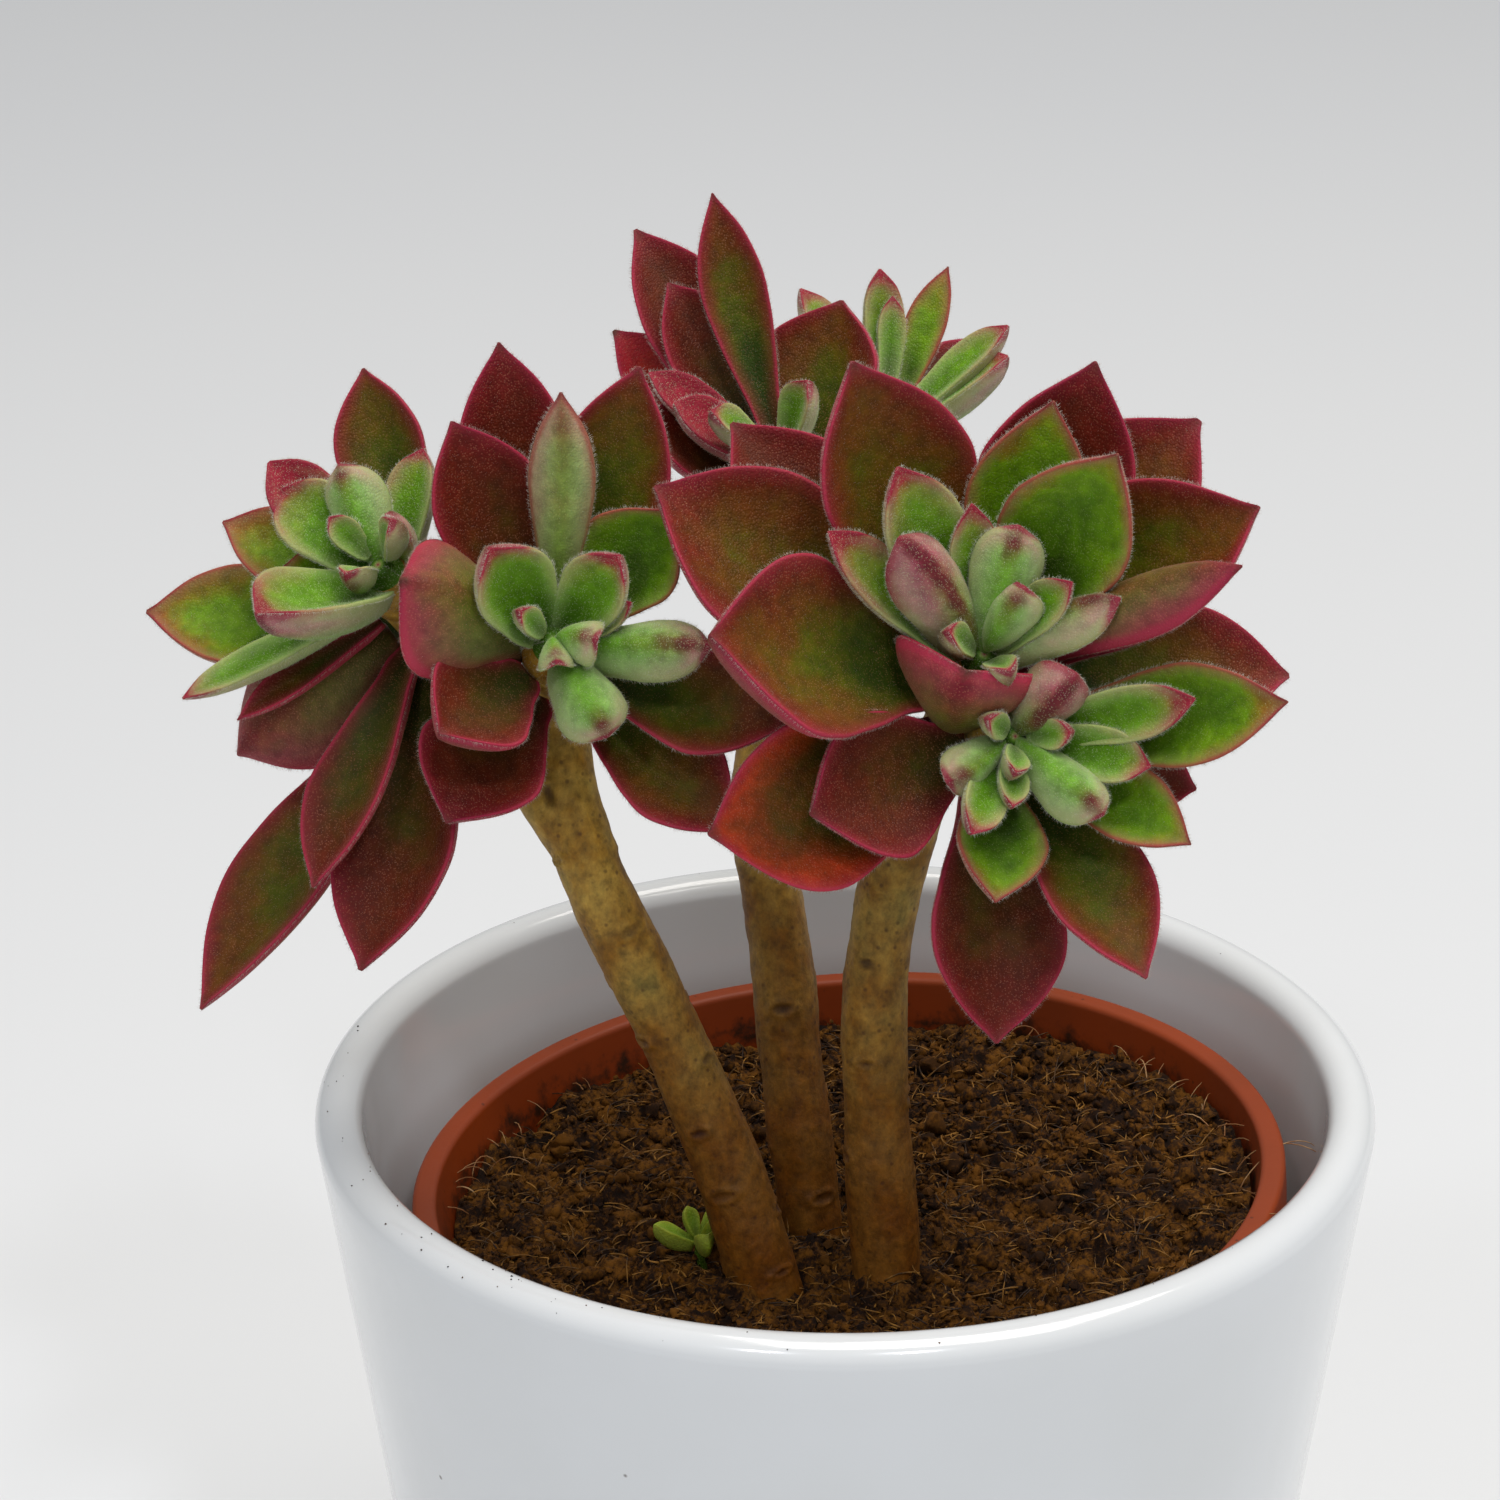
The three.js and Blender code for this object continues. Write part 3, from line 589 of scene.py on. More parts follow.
# Young leaves still joined at each growing point: how far below it they leave, the azimuth
# round the shoot, the rise, length, width, curl and roll, in mm and degrees, then how flushed
# with red each one is.
shoot = {
    "radius": 4.0, "length": 9.0, "clearance": 0.3,  # mm
    "start": 0.4,  # where a young leaf starts inside the shoot, as a share of its radius
    "plump": 1.75, "wavy": 0.8,
    "footRings": 7, "barkRings": 5,  # rings of points along the foot, and those with bark already
}
youngLeaves = {
    "right": [
        (6, 117, 40, 25, 11, 15, 0, -0.05), (6, 94, 45, 18, 6.5, 10, 0, 0),
        (6, 143, 30, 23, 7.5, 15, 0, 0.12), (5, 132, 45, 18, 9.5, 20, 180, 0.25),
        (3, 72, 50, 15, 9, 5, 180, -0.28), (1, 50, 62, 8, 7, 5, 180, -0.2),
        (3, 27, 50, 12.5, 6, 5, 0, 0), (5, 10, 42, 17, 7, 10, 150, 0.02),
        (1, 170, 60, 5, 4, 5, 0, 0), (1, 290, 62, 4.5, 4, 5, 0, 0),
    ],
    "lower_right": [
        (4, 48, 50, 10, 8, 15, 180, 0.25), (4, 203, 32, 9, 6, 5, 180, -0.1),
        (4, 231, 35, 12.5, 6, 5, 0, 0), (3, 250, 45, 7.5, 4, 5, 0, -0.05), (4, 340, 40, 15, 7, 5, 0, -0.1),
        (3, 305, 45, 13, 7.5, 5, 180, -0.28), (5, 8, 44, 22, 7, 10, 0, 0.05),
        (1, 150, 50, 3.5, 3.5, 5, 0, 0), (1, 240, 62, 4, 3.5, 5, 0, 0), (1, 0, 60, 4.5, 4, 5, 0, 0),
    ],
    "inner_left": [
        (5, 128, 50, 14, 11, 20, 0, 0), (5, 45, 48, 13, 9, 15, 0, 0),
        (5, 296, 20, 11, 9, 15, 180, -0.25), (7, 353, 28, 18, 8, 15, 180, -0.2),
        (2, 344, 58, 5, 6, 5, 180, -0.3), (2, 274, 65, 3.5, 4.5, 5, 180, -0.3),
        (5, 20, 40, 9, 4, 5, 0, 0), (1, 150, 62, 4, 3.5, 5, 0, 0),
    ],
    "outer_left": [
        (7, 157, 36, 19, 9, 5, 0, 0.4), (4, 128, 45, 11.5, 8, 5, 180, -0.28),
        (7, 100, 60, 6.5, 9, 10, 0, 0.25), (5, 164, 32, 14.5, 10, 10, 0, 0), (7, 96, 20, 14, 7, 10, 0, 0),
        (6, 256, 50, 20, 12.5, 10, 0, 0.02), (7, 226, 2, 27, 5, 5, 0, -0.15),
        (1, 40, 62, 5, 4, 5, 0, 0), (1, 160, 62, 5, 4, 5, 0, 0), (1, 280, 60, 4.5, 4, 5, 0, 0),
    ],
    "back_left": [
        (7, 172, 40, 19, 6.5, 10, 0, 0.75), (5, 185, 45, 13, 7, 10, 0, 0.8), (3, 60, 55, 8, 6, 10, 0, 0),
        (1, 200, 60, 7, 5, 5, 0, 0),
    ],
    "back_right": [
        (6, 95, 40, 18.5, 7, 10, 0, 0), (4, 62, 60, 16.5, 6, 10, 0, 0.1), (2, 53, 62, 11, 4, 10, 0, 0),
        (7, 338, 46, 19, 6.5, 10, 0, 0.05), (7, 325, 42, 16.5, 9, 10, 0, 0.05),
    ],
}


def shootFrame(name, radius, length):
    # the growing point and the way it points, from the fan of faces at the shoot's foot
    mesh = nodeMesh(name)
    best = None
    for corner in mesh.verts:
        others = [edge.other_vert(corner).co for edge in corner.link_edges]
        if len(others) not in (8, 12):
            continue
        reach = [(other - corner.co).length for other in others]
        want = math.hypot(0.8 * radius, 0.15 * radius) * mm
        miss = max(abs(one - want) for one in reach)
        if best is None or miss < best[0]:
            middle = sum(others, Vector()) / len(others)
            best = (miss, corner.co.copy(), (middle - corner.co).normalized())
    mesh.free()
    print(name, "shoot found to", round(best[0] / mm, 4), "mm")
    _, foot, along = best
    tip = foot + along * length * mm
    right = Vector((0, 0, 1)).cross(along).normalized()
    back = along.cross(right)
    return Matrix.Translation(tip) @ Matrix((right, back, along)).transposed().to_4x4()


def circle(radius, angle, height):
    return np.stack(np.broadcast_arrays(radius * np.cos(angle), radius * np.sin(angle), height), -1)


def growBud(foliage, where, rows, radius, length, hair):
    # a tapering foot, then the young leaves from inside it
    heights = np.array([-length - 0.5, -length, -length * 0.75, -length * 0.55, -3.6, -2.2, -1.4])
    girth = radius * np.array([0.8, 1, 1, 0.92, 0.66, 0.42, 0.24])
    angle = np.linspace(0, 2 * math.pi, leafForm["young"]["sides"], endpoint=False)
    rings = np.stack([circle(g, angle, h) for g, h in zip(girth, heights)])
    place = np.zeros(rings.shape)
    place[..., 1] = 3.0
    foliage.add((rings, place, np.full((*rings.shape[:2], 2), 0.5)), where, 0.0, hair)
    for down, azimuth, rise, size, width, curl, roll, flush in rows:
        start = shoot["start"] * radius
        reach = size + radius + shoot["clearance"] - start
        grid = leafGrid(reach, width, curl, "young", shoot["plump"], shoot["wavy"])
        lie = (
            Matrix.Rotation(math.radians(azimuth), 4, "Z")
            @ Matrix.Translation((start * mm, 0, -down * mm))
            @ Matrix.Rotation(math.radians(-rise), 4, "Y")
            @ Matrix.Rotation(math.radians(roll), 4, "X")
        )
        foliage.add(grid, where @ lie, flush, hair)


# Hairs: short, tapering, leaning towards the leaf's tip; longest along the margins.
fuzz = {
    "density": 2.2, "youngDensity": 5,  # hairs on each square mm
    "marginDensity": 14,  # hairs on each mm of margin
    "length": 0.24, "youngLength": 0.34, "marginLength": 0.6,  # mm
    "radius": 0.016,  # mm at the root
    "pale": "#dfe3d0", "flushed": "#ac4852",
}


def hairSkin():
    # plant hairs: thin, dry, almost white or flushed, so they catch light along every edge
    skin, add = newMaterial("leafHair")
    tint = add("Attribute", attribute_name="hairTint").outputs["Fac"]
    colour = add("Mix", {0: tint, 6: fuzz["pale"], 7: fuzz["flushed"]}, data_type="RGBA")
    shader = add("BsdfPrincipled", {
        "Base Color": colour, "Roughness": 0.7, "Specular IOR Level": 0.3,
        "Subsurface Weight": 0.2, "Subsurface Radius": (0.5 * mm,) * 3, "Subsurface Scale": 1.0,
    })
    add("OutputMaterial", {"Surface": shader})
    return skin


def growFuzz(name, grids, skin):
    roots, ways, lengths, tints = [], [], [], []
    for world, place, (young, redness) in grids:
        step = np.roll(world, -1, 1) - world
        rise = np.gradient(world, axis=0)
        normal = unit(np.cross(np.roll(world, -1, 1) - np.roll(world, 1, 1), rise))
        if np.sum(normal * (world - world.mean((0, 1)))) < 0:
            normal = -normal
        cells = np.linalg.norm(np.cross(step[:-1], rise[:-1]), axis=-1) / mm**2
        density = fuzz["density"] + young * (fuzz["youngDensity"] - fuzz["density"])
        wanted = dice.poisson(cells.sum() * density)
        flat = cells.ravel() / cells.sum()
        pick = dice.choice(flat.size, wanted, p=flat)
        i, j = np.unravel_index(pick, cells.shape)
        s, t = dice.random((2, wanted, 1))
        k = (j + 1) % world.shape[1]
        at = (world[i, j] * (1 - s) + world[i + 1, j] * s) * (1 - t)
        at = at + (world[i, k] * (1 - s) + world[i + 1, k] * s) * t
        lean = unit(rise[i, j])
        ways.append(unit(normal[i, j] + 0.55 * lean + dice.normal(0, 0.35, (wanted, 3))))
        size = fuzz["length"] + young * (fuzz["youngLength"] - fuzz["length"])
        lengths.append(size * dice.uniform(0.6, 1.25, wanted))
        roots.append(at)
        tints.append(np.clip(redness * 0.9 + dice.normal(0, 0.12, wanted), 0, 1))
        half = world.shape[1] // 2
        for column in (0, half):  # the two margins
            line, out = world[:, column], unit(world[:, column] - world[:, column - half])
            run = np.linalg.norm(np.diff(line, axis=0), axis=1) / mm
            count = dice.poisson(run.sum() * fuzz["marginDensity"])
            i = dice.choice(run.size, count, p=run / run.sum())
            s = dice.random((count, 1))
            roots.append(line[i] * (1 - s) + line[i + 1] * s)
            lean = unit(np.diff(line, axis=0))[i]
            ways.append(unit(out[i] + 0.7 * lean + dice.normal(0, 0.32, (count, 3))))
            lengths.append(fuzz["marginLength"] * dice.uniform(0.5, 1.2, count))
            tints.append(np.clip(redness * 0.75 + dice.normal(0, 0.15, count), 0, 1))
    root, way = np.concatenate(roots), np.concatenate(ways)
    length, tint = np.concatenate(lengths)[:, None] * mm, np.concatenate(tints)
    side = unit(np.cross(way, dice.normal(0, 1, way.shape)))
    other = np.cross(way, side)
    radius = fuzz["radius"] * mm
    root = root - way * 0.05 * mm
    corners = [
        root + radius * (math.cos(a) * side + math.sin(a) * other)
        for a in (0, 2 * math.pi / 3, 4 * math.pi / 3)
    ]
    droop = 0.12 * length * unit(dice.normal(0, 1, way.shape))
    points = np.stack([*corners, root + way * length + droop], 1).reshape(-1, 3)
    first = np.arange(len(root))[:, None, None] * 4
    faces = (first + np.array([[0, 2, 1], [0, 1, 3], [1, 2, 3], [2, 0, 3]])).reshape(-1, 3)
    print(name, len(root), "hairs")
    return makePiece(
        name, points, faces.tolist(), skin, data={"hairTint": np.repeat(tint, 4)}
    )


leafHair = hairSkin()
footSides = leafForm["young"]["sides"]
footEnd = shoot["footRings"] * footSides  # the point that closes the foot's lower end
for rosette, rows in youngLeaves.items():
    bud = Foliage()
    node = f"bud_{rosette}"
    where = shootFrame(node, shoot["radius"], shoot["length"])
    growBud(bud, where, rows, shoot["radius"], shoot["length"], (1.0, leafLooks["young"]["hair"]))
    tip = bud.piece(f"{node}_grown", leafSkins["young"], slotOf[node], [node])
    tip.data.materials.append(bark)
    for face in tip.data.polygons:
        rings = [corner // footSides for corner in face.vertices]
        if max(rings) < shoot["barkRings"] or min(rings) == shoot["footRings"] and footEnd in face.vertices:
            face.material_index = 1
    grids = []
    for name in sorted(n for n in nodes if n.startswith(f"leaf_{rosette}_")):
        finish = slotOf[name].split("_")[1]
        mood = leafMoods[rosette][int(name[-2:]) - 1]
        leaf = Foliage()
        matrix, length, width, curl = readLeaf(name)
        width *= leafWider.get(name, 1)
        grid = leafGrid(length, width, curl, "grown", leafForm["plump"], lean=leafBends.get(name, 0))
        matrix = matrix @ Matrix.Rotation(math.radians(leafTurns.get(name, 0)), 4, "X")
        leaf.add(grid, matrix, mood, (0.0, leafLooks[finish]["hair"]))
        leaf.piece(f"{name}_grown", leafSkins[finish], slotOf[name], [name])
        grids += leaf.grids
    growFuzz(f"hairs_{rosette}", grids, leafHair)
    growFuzz(f"hairs_young_{rosette}", bud.grids, leafHair)
    print("rosette", rosette, "grown")

seedling = {
    "radius": 1.1, "length": 9,  # mm, of its stalk
    "leaves": [
        (1.5, 20, 40, 5, 2.6, 10, 0, 0), (1.5, 140, 35, 5.6, 2.7, 10, 0, 0),
        (1.5, 265, 30, 5.2, 2.6, 10, 0, 0), (0.8, 85, 58, 4, 2.4, 10, 0, 0),
        (0.8, 205, 60, 3.5, 2.2, 10, 0, 0),
    ],
}
sprout = Foliage()
where = shootFrame("sprout", seedling["radius"], seedling["length"])
growBud(sprout, where, seedling["leaves"], seedling["radius"], seedling["length"], (0.5, 0.0))
sprout.piece("sprout_grown", leafSkins["seedling"], slotOf["sprout"], ["sprout"])
print("seedling grown")


def spin(profile, segments):
    # profile of (radius, height) in mm turned about Z; the first and last lie on the axis
    profile = np.array(profile, float)
    angle = np.linspace(0, 2 * math.pi, segments, endpoint=False)
    rings = profile[1:-1]
    points = np.stack([circle(r, angle, h) for r, h in rings]).reshape(-1, 3)
    ends = np.array([[0, 0, profile[0, 1]], [0, 0, profile[-1, 1]]])
    return np.concatenate([points, ends]), tubeFaces(len(rings), segments)


def turn(centre, size, start, stop, steps):
    # points on a round corner of a profile, in mm and degrees
    angles = np.radians(np.linspace(start, stop, steps + 1))
    return [(centre[0] + size * math.cos(a), centre[1] + size * math.sin(a)) for a in angles]


def ladder(a, b, steps):
    # points between two corners, without the corners
    a, b = np.array(a, float), np.array(b, float)
    return [tuple(a + (b - a) * k / steps) for k in range(1, steps)]


coverPot = {
    "wall": 6.5, "footRadius": 50, "footRounding": 5.5,
    "floor": 7, "floorRadius": 50, "floorFillet": 12,  # mm
    "glaze": "#e6e9ed", "thinGlaze": "#d8dad9", "speck": "#5a5048",
    "speckGap": 16,  # mm between specks, about
    "segments": 168,
}


def glazeSkin():
    # white tin glaze on earthenware: a clear glassy coat over soft white, pooled and pulled a little
    skin, add = newMaterial("whiteGlaze")
    where = add("TexCoord").outputs["Object"]
    broad = add("TexNoise", {"Vector": where, "Scale": 1000 / 45, "Detail": 3})
    fine = add("TexNoise", {"Vector": where, "Scale": 1000 / 7, "Detail": 4})
    cells = add("TexVoronoi", {"Vector": where, "Scale": 1000 / coverPot["speckGap"]})
    colour = add("Mix", {0: broad, 6: coverPot["glaze"], 7: coverPot["thinGlaze"]}, data_type="RGBA")
    speck = add("MapRange", {0: cells, 1: 0.026, 2: 0.014, 3: 0.0, 4: 0.8})
    colour = add("Mix", {0: speck, 6: colour, 7: coverPot["speck"]}, data_type="RGBA")
    level = add("Math", {0: fine, 1: 0.25, 2: broad}, operation="MULTIPLY_ADD")
    bump = add("Bump", {"Height": level, "Strength": 0.25, "Distance": 0.6 * mm})
    shade = add("MapRange", {0: fine, 3: 0.1, 4: 0.2})
    shader = add("BsdfPrincipled", {
        "Base Color": colour, "Roughness": shade, "Normal": bump, "IOR": 1.5,
        "Coat Weight": 0.6, "Coat Roughness": 0.05, "Coat IOR": 1.5,
    })
    add("OutputMaterial", {"Surface": shader})
    return skin


def makeCoverPot():
    low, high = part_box("outer_pot")
    rimRadius, height = (high.x - low.x) / 2 / mm, high.z / mm
    size = coverPot
    lip = size["wall"] / 2
    foot = (size["footRadius"], size["footRounding"])
    inner = (size["floorRadius"] - size["floorFillet"], size["floor"] + size["floorFillet"])
    outside = turn(foot, size["footRounding"], -90, -8, 8)
    rim = turn((rimRadius - lip, height - lip), lip, 0, 180, 16)
    inside = turn(inner, size["floorFillet"], -8, -90, 12)
    profile = [
        (0, 0), (size["footRadius"] * 0.5, 0), *outside, *ladder(outside[-1], rim[0], 24), *rim,
        *ladder(rim[-1], inside[0], 20), *inside, (inner[0] * 0.5, size["floor"]),
        (0, size["floor"]),
    ]
    points, faces = spin(profile, size["segments"])
    makePiece(
        "cover_pot_glazed", points * mm, faces, glazeSkin(), ["outer_pot"]
    )


makeCoverPot()
print("cover pot turned")

nurseryPot = {
    "height": 104, "rimRadius": 60, "footRadius": 42, "wall": 1.2, "lipDrop": 9, "lipWidth": 2.2,
    "tilt": 3.3,  # degrees, left side low
    "drainHoles": 8, "drainRadius": 4, "drainCircle": 29,
    "plastic": "#9a3a02", "dust": "#7c320a", "darkMark": "#2c1606",
    "segments": 144, "edge": 0.9,  # rounding of the lip's edges, mm
}


def nurserySkin():
    # moulded polypropylene: terracotta colour right through, satin, dusty, with dark specks, and darker in
    # patches inside the lip
    skin, add = newMaterial("terracottaPlastic")
    where = add("TexCoord").outputs["Object"]
    haze = add("TexNoise", {"Vector": where, "Scale": 1000 / 18, "Detail": 5})
    dirt = add("TexNoise", {"Vector": where, "Scale": 1000 / 5, "Detail": 6, "Roughness": 0.7})
    grit = add("TexVoronoi", {"Vector": where, "Scale": 1000 / 3.2})
    low = add("Attribute", attribute_name="lipInsideBand").outputs["Fac"]
    colour = add("Mix", {0: haze, 6: nurseryPot["plastic"], 7: nurseryPot["dust"]}, data_type="RGBA")
    # darker in patches inside the lip, down to below the compost's top
    darkening = add("Math", {0: dirt, 1: low}, operation="MULTIPLY")
    darkening = add("MapRange", {0: darkening, 1: 0.38, 2: 0.62}, interpolation_type="SMOOTHSTEP")
    colour = add("Mix", {0: darkening, 6: colour, 7: nurseryPot["darkMark"]}, data_type="RGBA")
    speck = add("MapRange", {0: grit, 1: 0.1, 2: 0.05, 3: 0.0, 4: 0.6})
    colour = add("Mix", {0: speck, 6: colour, 7: nurseryPot["darkMark"]}, data_type="RGBA")
    shine = add("MapRange", {0: haze, 3: 0.4, 4: 0.6})
    bump = add("Bump", {"Height": dirt, "Strength": 0.2, "Distance": 0.3 * mm})
    shader = add("BsdfPrincipled", {
        "Base Color": colour, "Roughness": shine, "Normal": bump, "IOR": 1.49,
        "Specular IOR Level": 0.35,
    })
    add("OutputMaterial", {"Surface": shader})
    return skin


def nurseryMatrix(points):
    # leaned, then moved so that its box's middle is the CAD pot's
    lean = Matrix.Rotation(math.radians(-nurseryPot["tilt"]), 4, "Y")
    turned = points @ np.array(lean.to_3x3()).T
    low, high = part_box("inner_pot")
    middle = (np.array(low) + np.array(high)) / 2
    return Matrix.Translation(middle - (turned.min(0) + turned.max(0)) / 2) @ lean


def makeNurseryPot():
    size = nurseryPot
    bodyTop, edge = size["rimRadius"] - size["lipWidth"], size["edge"]
    slope = (bodyTop - size["footRadius"]) / size["height"]
    drop = size["height"] - size["lipDrop"]
    under = size["footRadius"] + slope * drop
    wall, foot, top, rim = size["wall"], size["footRadius"], size["height"], size["rimRadius"]
    profile = [
        (0, 0), (foot * 0.5, 0), *turn((foot - 2, 2), 2, -90, 0, 5),
        *ladder((foot, 2), (under, drop), 16), (under, drop), (rim - edge, drop),
        *turn((rim - 0.3, drop + 0.4), 0.3, -60, 20, 3), (rim + 0.05, top - 4),
        *turn((rim - edge, top - edge), edge, 0, 90, 5),
        *turn((bodyTop - wall + edge, top - edge), edge, 90, 180, 5),
        *ladder((bodyTop - wall, top - 1), (foot - wall, wall + 1.5), 18),
        *turn((foot - wall - 1.5, wall + 1.5), 1.5, 0, -90, 4), (foot * 0.5, wall), (0, wall),
    ]
    points, faces = spin(profile, size["segments"])
    matrix = nurseryMatrix(points * mm)
    height = points[:, 2]  # darker in patches on the inside, from below the compost's top up over the lip
    near = np.clip((height - (drop - 10)) / 12, 0, 1) * np.clip((top + 2 - height) / 5, 0, 1)
    near *= np.hypot(points[:, 0], points[:, 1]) < under + 1.6
    world = points * mm @ np.array(matrix.to_3x3()).T + np.array(matrix.translation)
    pot = makePiece(
        "nursery_pot_moulded", world, faces, nurserySkin(), ["inner_pot"],
        {"lipInsideBand": near},
    )
    punch = bmesh.new()
    for hole in range(size["drainHoles"]):
        angle = 2 * math.pi * hole / size["drainHoles"]
        out = size["drainCircle"] * mm
        spot = Matrix.Translation((out * math.cos(angle), out * math.sin(angle), 0))
        bmesh.ops.create_cone(
            punch, cap_ends=True, segments=28, radius1=size["drainRadius"] * mm,
            radius2=size["drainRadius"] * mm, depth=8 * mm, matrix=matrix @ spot,
        )
    holes = bpy.data.meshes.new("drainPunch")
    punch.to_mesh(holes)
    punch.free()
    tool = bpy.data.objects.new("drainPunch", holes)
    bpy.context.scene.collection.objects.link(tool)
    cut = pot.modifiers.new("drain", "BOOLEAN")
    cut.object, cut.operation, cut.solver = tool, "DIFFERENCE", "EXACT"
    bpy.context.view_layer.update()
    made = bpy.data.meshes.new_from_object(pot.evaluated_get(bpy.context.evaluated_depsgraph_get()))
    pot.modifiers.clear()
    pot.data = made
    bpy.data.objects.remove(tool)
    return matrix


potMatrix = makeNurseryPot()
print("nursery pot moulded")

soil = {
    "belowRim": 7, "gap": 0.35, "floorGap": 0.4,  # mm, the gaps to the nursery pot
    "rings": 130, "segments": 400,
    "clods": 8, "clodHeight": 2.2, "lumps": 2.6, "lumpHeight": 1.5, "grains": 0.9, "grainHeight": 0.5,
    "heap": 2.2,  # mm higher towards the right
    "crumbs": 1500, "crumbSize": (0.45, 1.6), "grit": 8000, "gritSize": (0.25, 0.8),  # mm, radius
    "offStem": 6.5,  # mm from a stem's middle
    "fibres": 3000, "fibreLength": (1.4, 5.5), "fibreRadius": (0.05, 0.16),
    "rootlets": 55, "rootletLength": (9, 22), "rootletRadius": (0.05, 0.12),
    "spilt": 60, "spiltSize": (0.06, 0.18),
    "dark": "#060301", "mid": "#200e03", "light": "#6a420e",
    "fibre": "#9c6c26", "fibreShade": "#281505", "rootlet": "#b89468", "rootletShade": "#8c5c34",
}


def soilSkin(name, strength):
    # peat and coir compost: near black, dull, with brown fibre showing where it is dry
    skin, add = newMaterial(name)
    where = add("TexCoord").outputs["Object"]
    clods = add("TexNoise", {"Vector": where, "Scale": 1000 / 4, "Detail": 7, "Roughness": 0.72})
    grain = add("TexNoise", {"Vector": where, "Scale": 1000 / 0.7, "Detail": 4, "Roughness": 0.7})
    both = add("Math", {0: grain, 1: 0.45, 2: clods}, operation="MULTIPLY_ADD")
    colour = add("ValToRGB", {0: both}, stops=[
        (0.5, soil["dark"]), (0.68, soil["mid"]), (0.84, soil["light"]),
    ])
    tone = add("Attribute", attribute_name="crumbTone").outputs["Fac"]
    colour = add("Mix", {0: tone, 6: colour, 7: soil["light"]}, data_type="RGBA")
    bump = add("Bump", {"Height": both, "Strength": strength, "Distance": 0.5 * mm})
    shader = add("BsdfPrincipled", {
        "Base Color": colour, "Roughness": 0.93, "Normal": bump, "Specular IOR Level": 0.2,
    })
    add("OutputMaterial", {"Surface": shader})
    return skin


def fibreSkin(name, pale, dark):
    # dry coir and fine roots: woody threads with a faint gloss
    skin, add = newMaterial(name)
    where = add("TexCoord").outputs["Object"]
    tone = add("TexNoise", {"Vector": where, "Scale": 1000 / 2.5, "Detail": 3})
    colour = add("ValToRGB", {0: tone}, stops=[(0.42, dark), (0.66, pale)])
    shader = add("BsdfPrincipled", {"Base Color": colour, "Roughness": 0.62, "Specular IOR Level": 0.35})
    add("OutputMaterial", {"Surface": shader})
    return skin


def soilHeight(x, y, level):
    # mm, in the nursery pot's frame
    spots = np.stack([x, y, np.zeros_like(x)], -1).reshape(-1, 3)
    height = wave(spots, soil["clods"], soil["clodHeight"], 3, 3)
    height += wave(spots, soil["lumps"], soil["lumpHeight"], 3, 11)
    height += wave(spots, soil["grains"], soil["grainHeight"], 2, 19)
    return level + height.reshape(x.shape) + soil["heap"] * np.clip(x / 50, 0, 1) ** 2


def toWorld(points):
    return points * mm @ np.array(potMatrix.to_3x3()).T + np.array(potMatrix.translation)


def makeSoil():
    size = nurseryPot
    slope = (size["rimRadius"] - size["lipWidth"] - size["footRadius"]) / size["height"]
    level = size["height"] - soil["belowRim"]
    low = size["wall"] + soil["floorGap"]
    inside = lambda z: size["footRadius"] + slope * z - size["wall"] - soil["gap"]
    angle = np.linspace(0, 2 * math.pi, soil["segments"], endpoint=False)
    rows = [circle(inside(z), angle, z) for z in (low, 8, 30, 55, 78, level - 6)]
    reach = inside(level) * (1 - np.linspace(0, 1, soil["rings"], endpoint=False)[1:])
    for r in [inside(level), *reach]:
        x, y = r * np.cos(angle), r * np.sin(angle)
        rows.append(np.stack([x, y, soilHeight(x, y, level)], -1))
    points = np.concatenate(rows)
    ends = np.array([[0, 0, low], [0, 0, level]])
    faces = tubeFaces(len(rows), soil["segments"])
    points = toWorld(np.concatenate([points, ends]))
    makePiece(
        "compost", points, faces, soilSkin("pottingCompost", 0.9), ["soil"],
        {"crumbTone": np.zeros(len(points))},
    )
    return inside(level), level


def keepOff(spots, limit):
    # crumbs don't lie inside a stem; its middle is taken at a few heights near the soil's top
    world = toWorld(spots)
    near = np.zeros(len(spots), bool)
    for name in stemNames:
        mesh = np.array([v.co for v in nodes[name].data.vertices])
        foot = mesh[mesh[:, 2] < mesh[:, 2].min() + 40 * mm]
        for height in (100, 112, 120):
            ring = foot[np.abs(foot[:, 2] - height * mm) < 9 * mm]
            if len(ring):
                near |= np.hypot(*(world[:, :2] - ring.mean(0)[:2]).T) < limit * mm
    return ~near


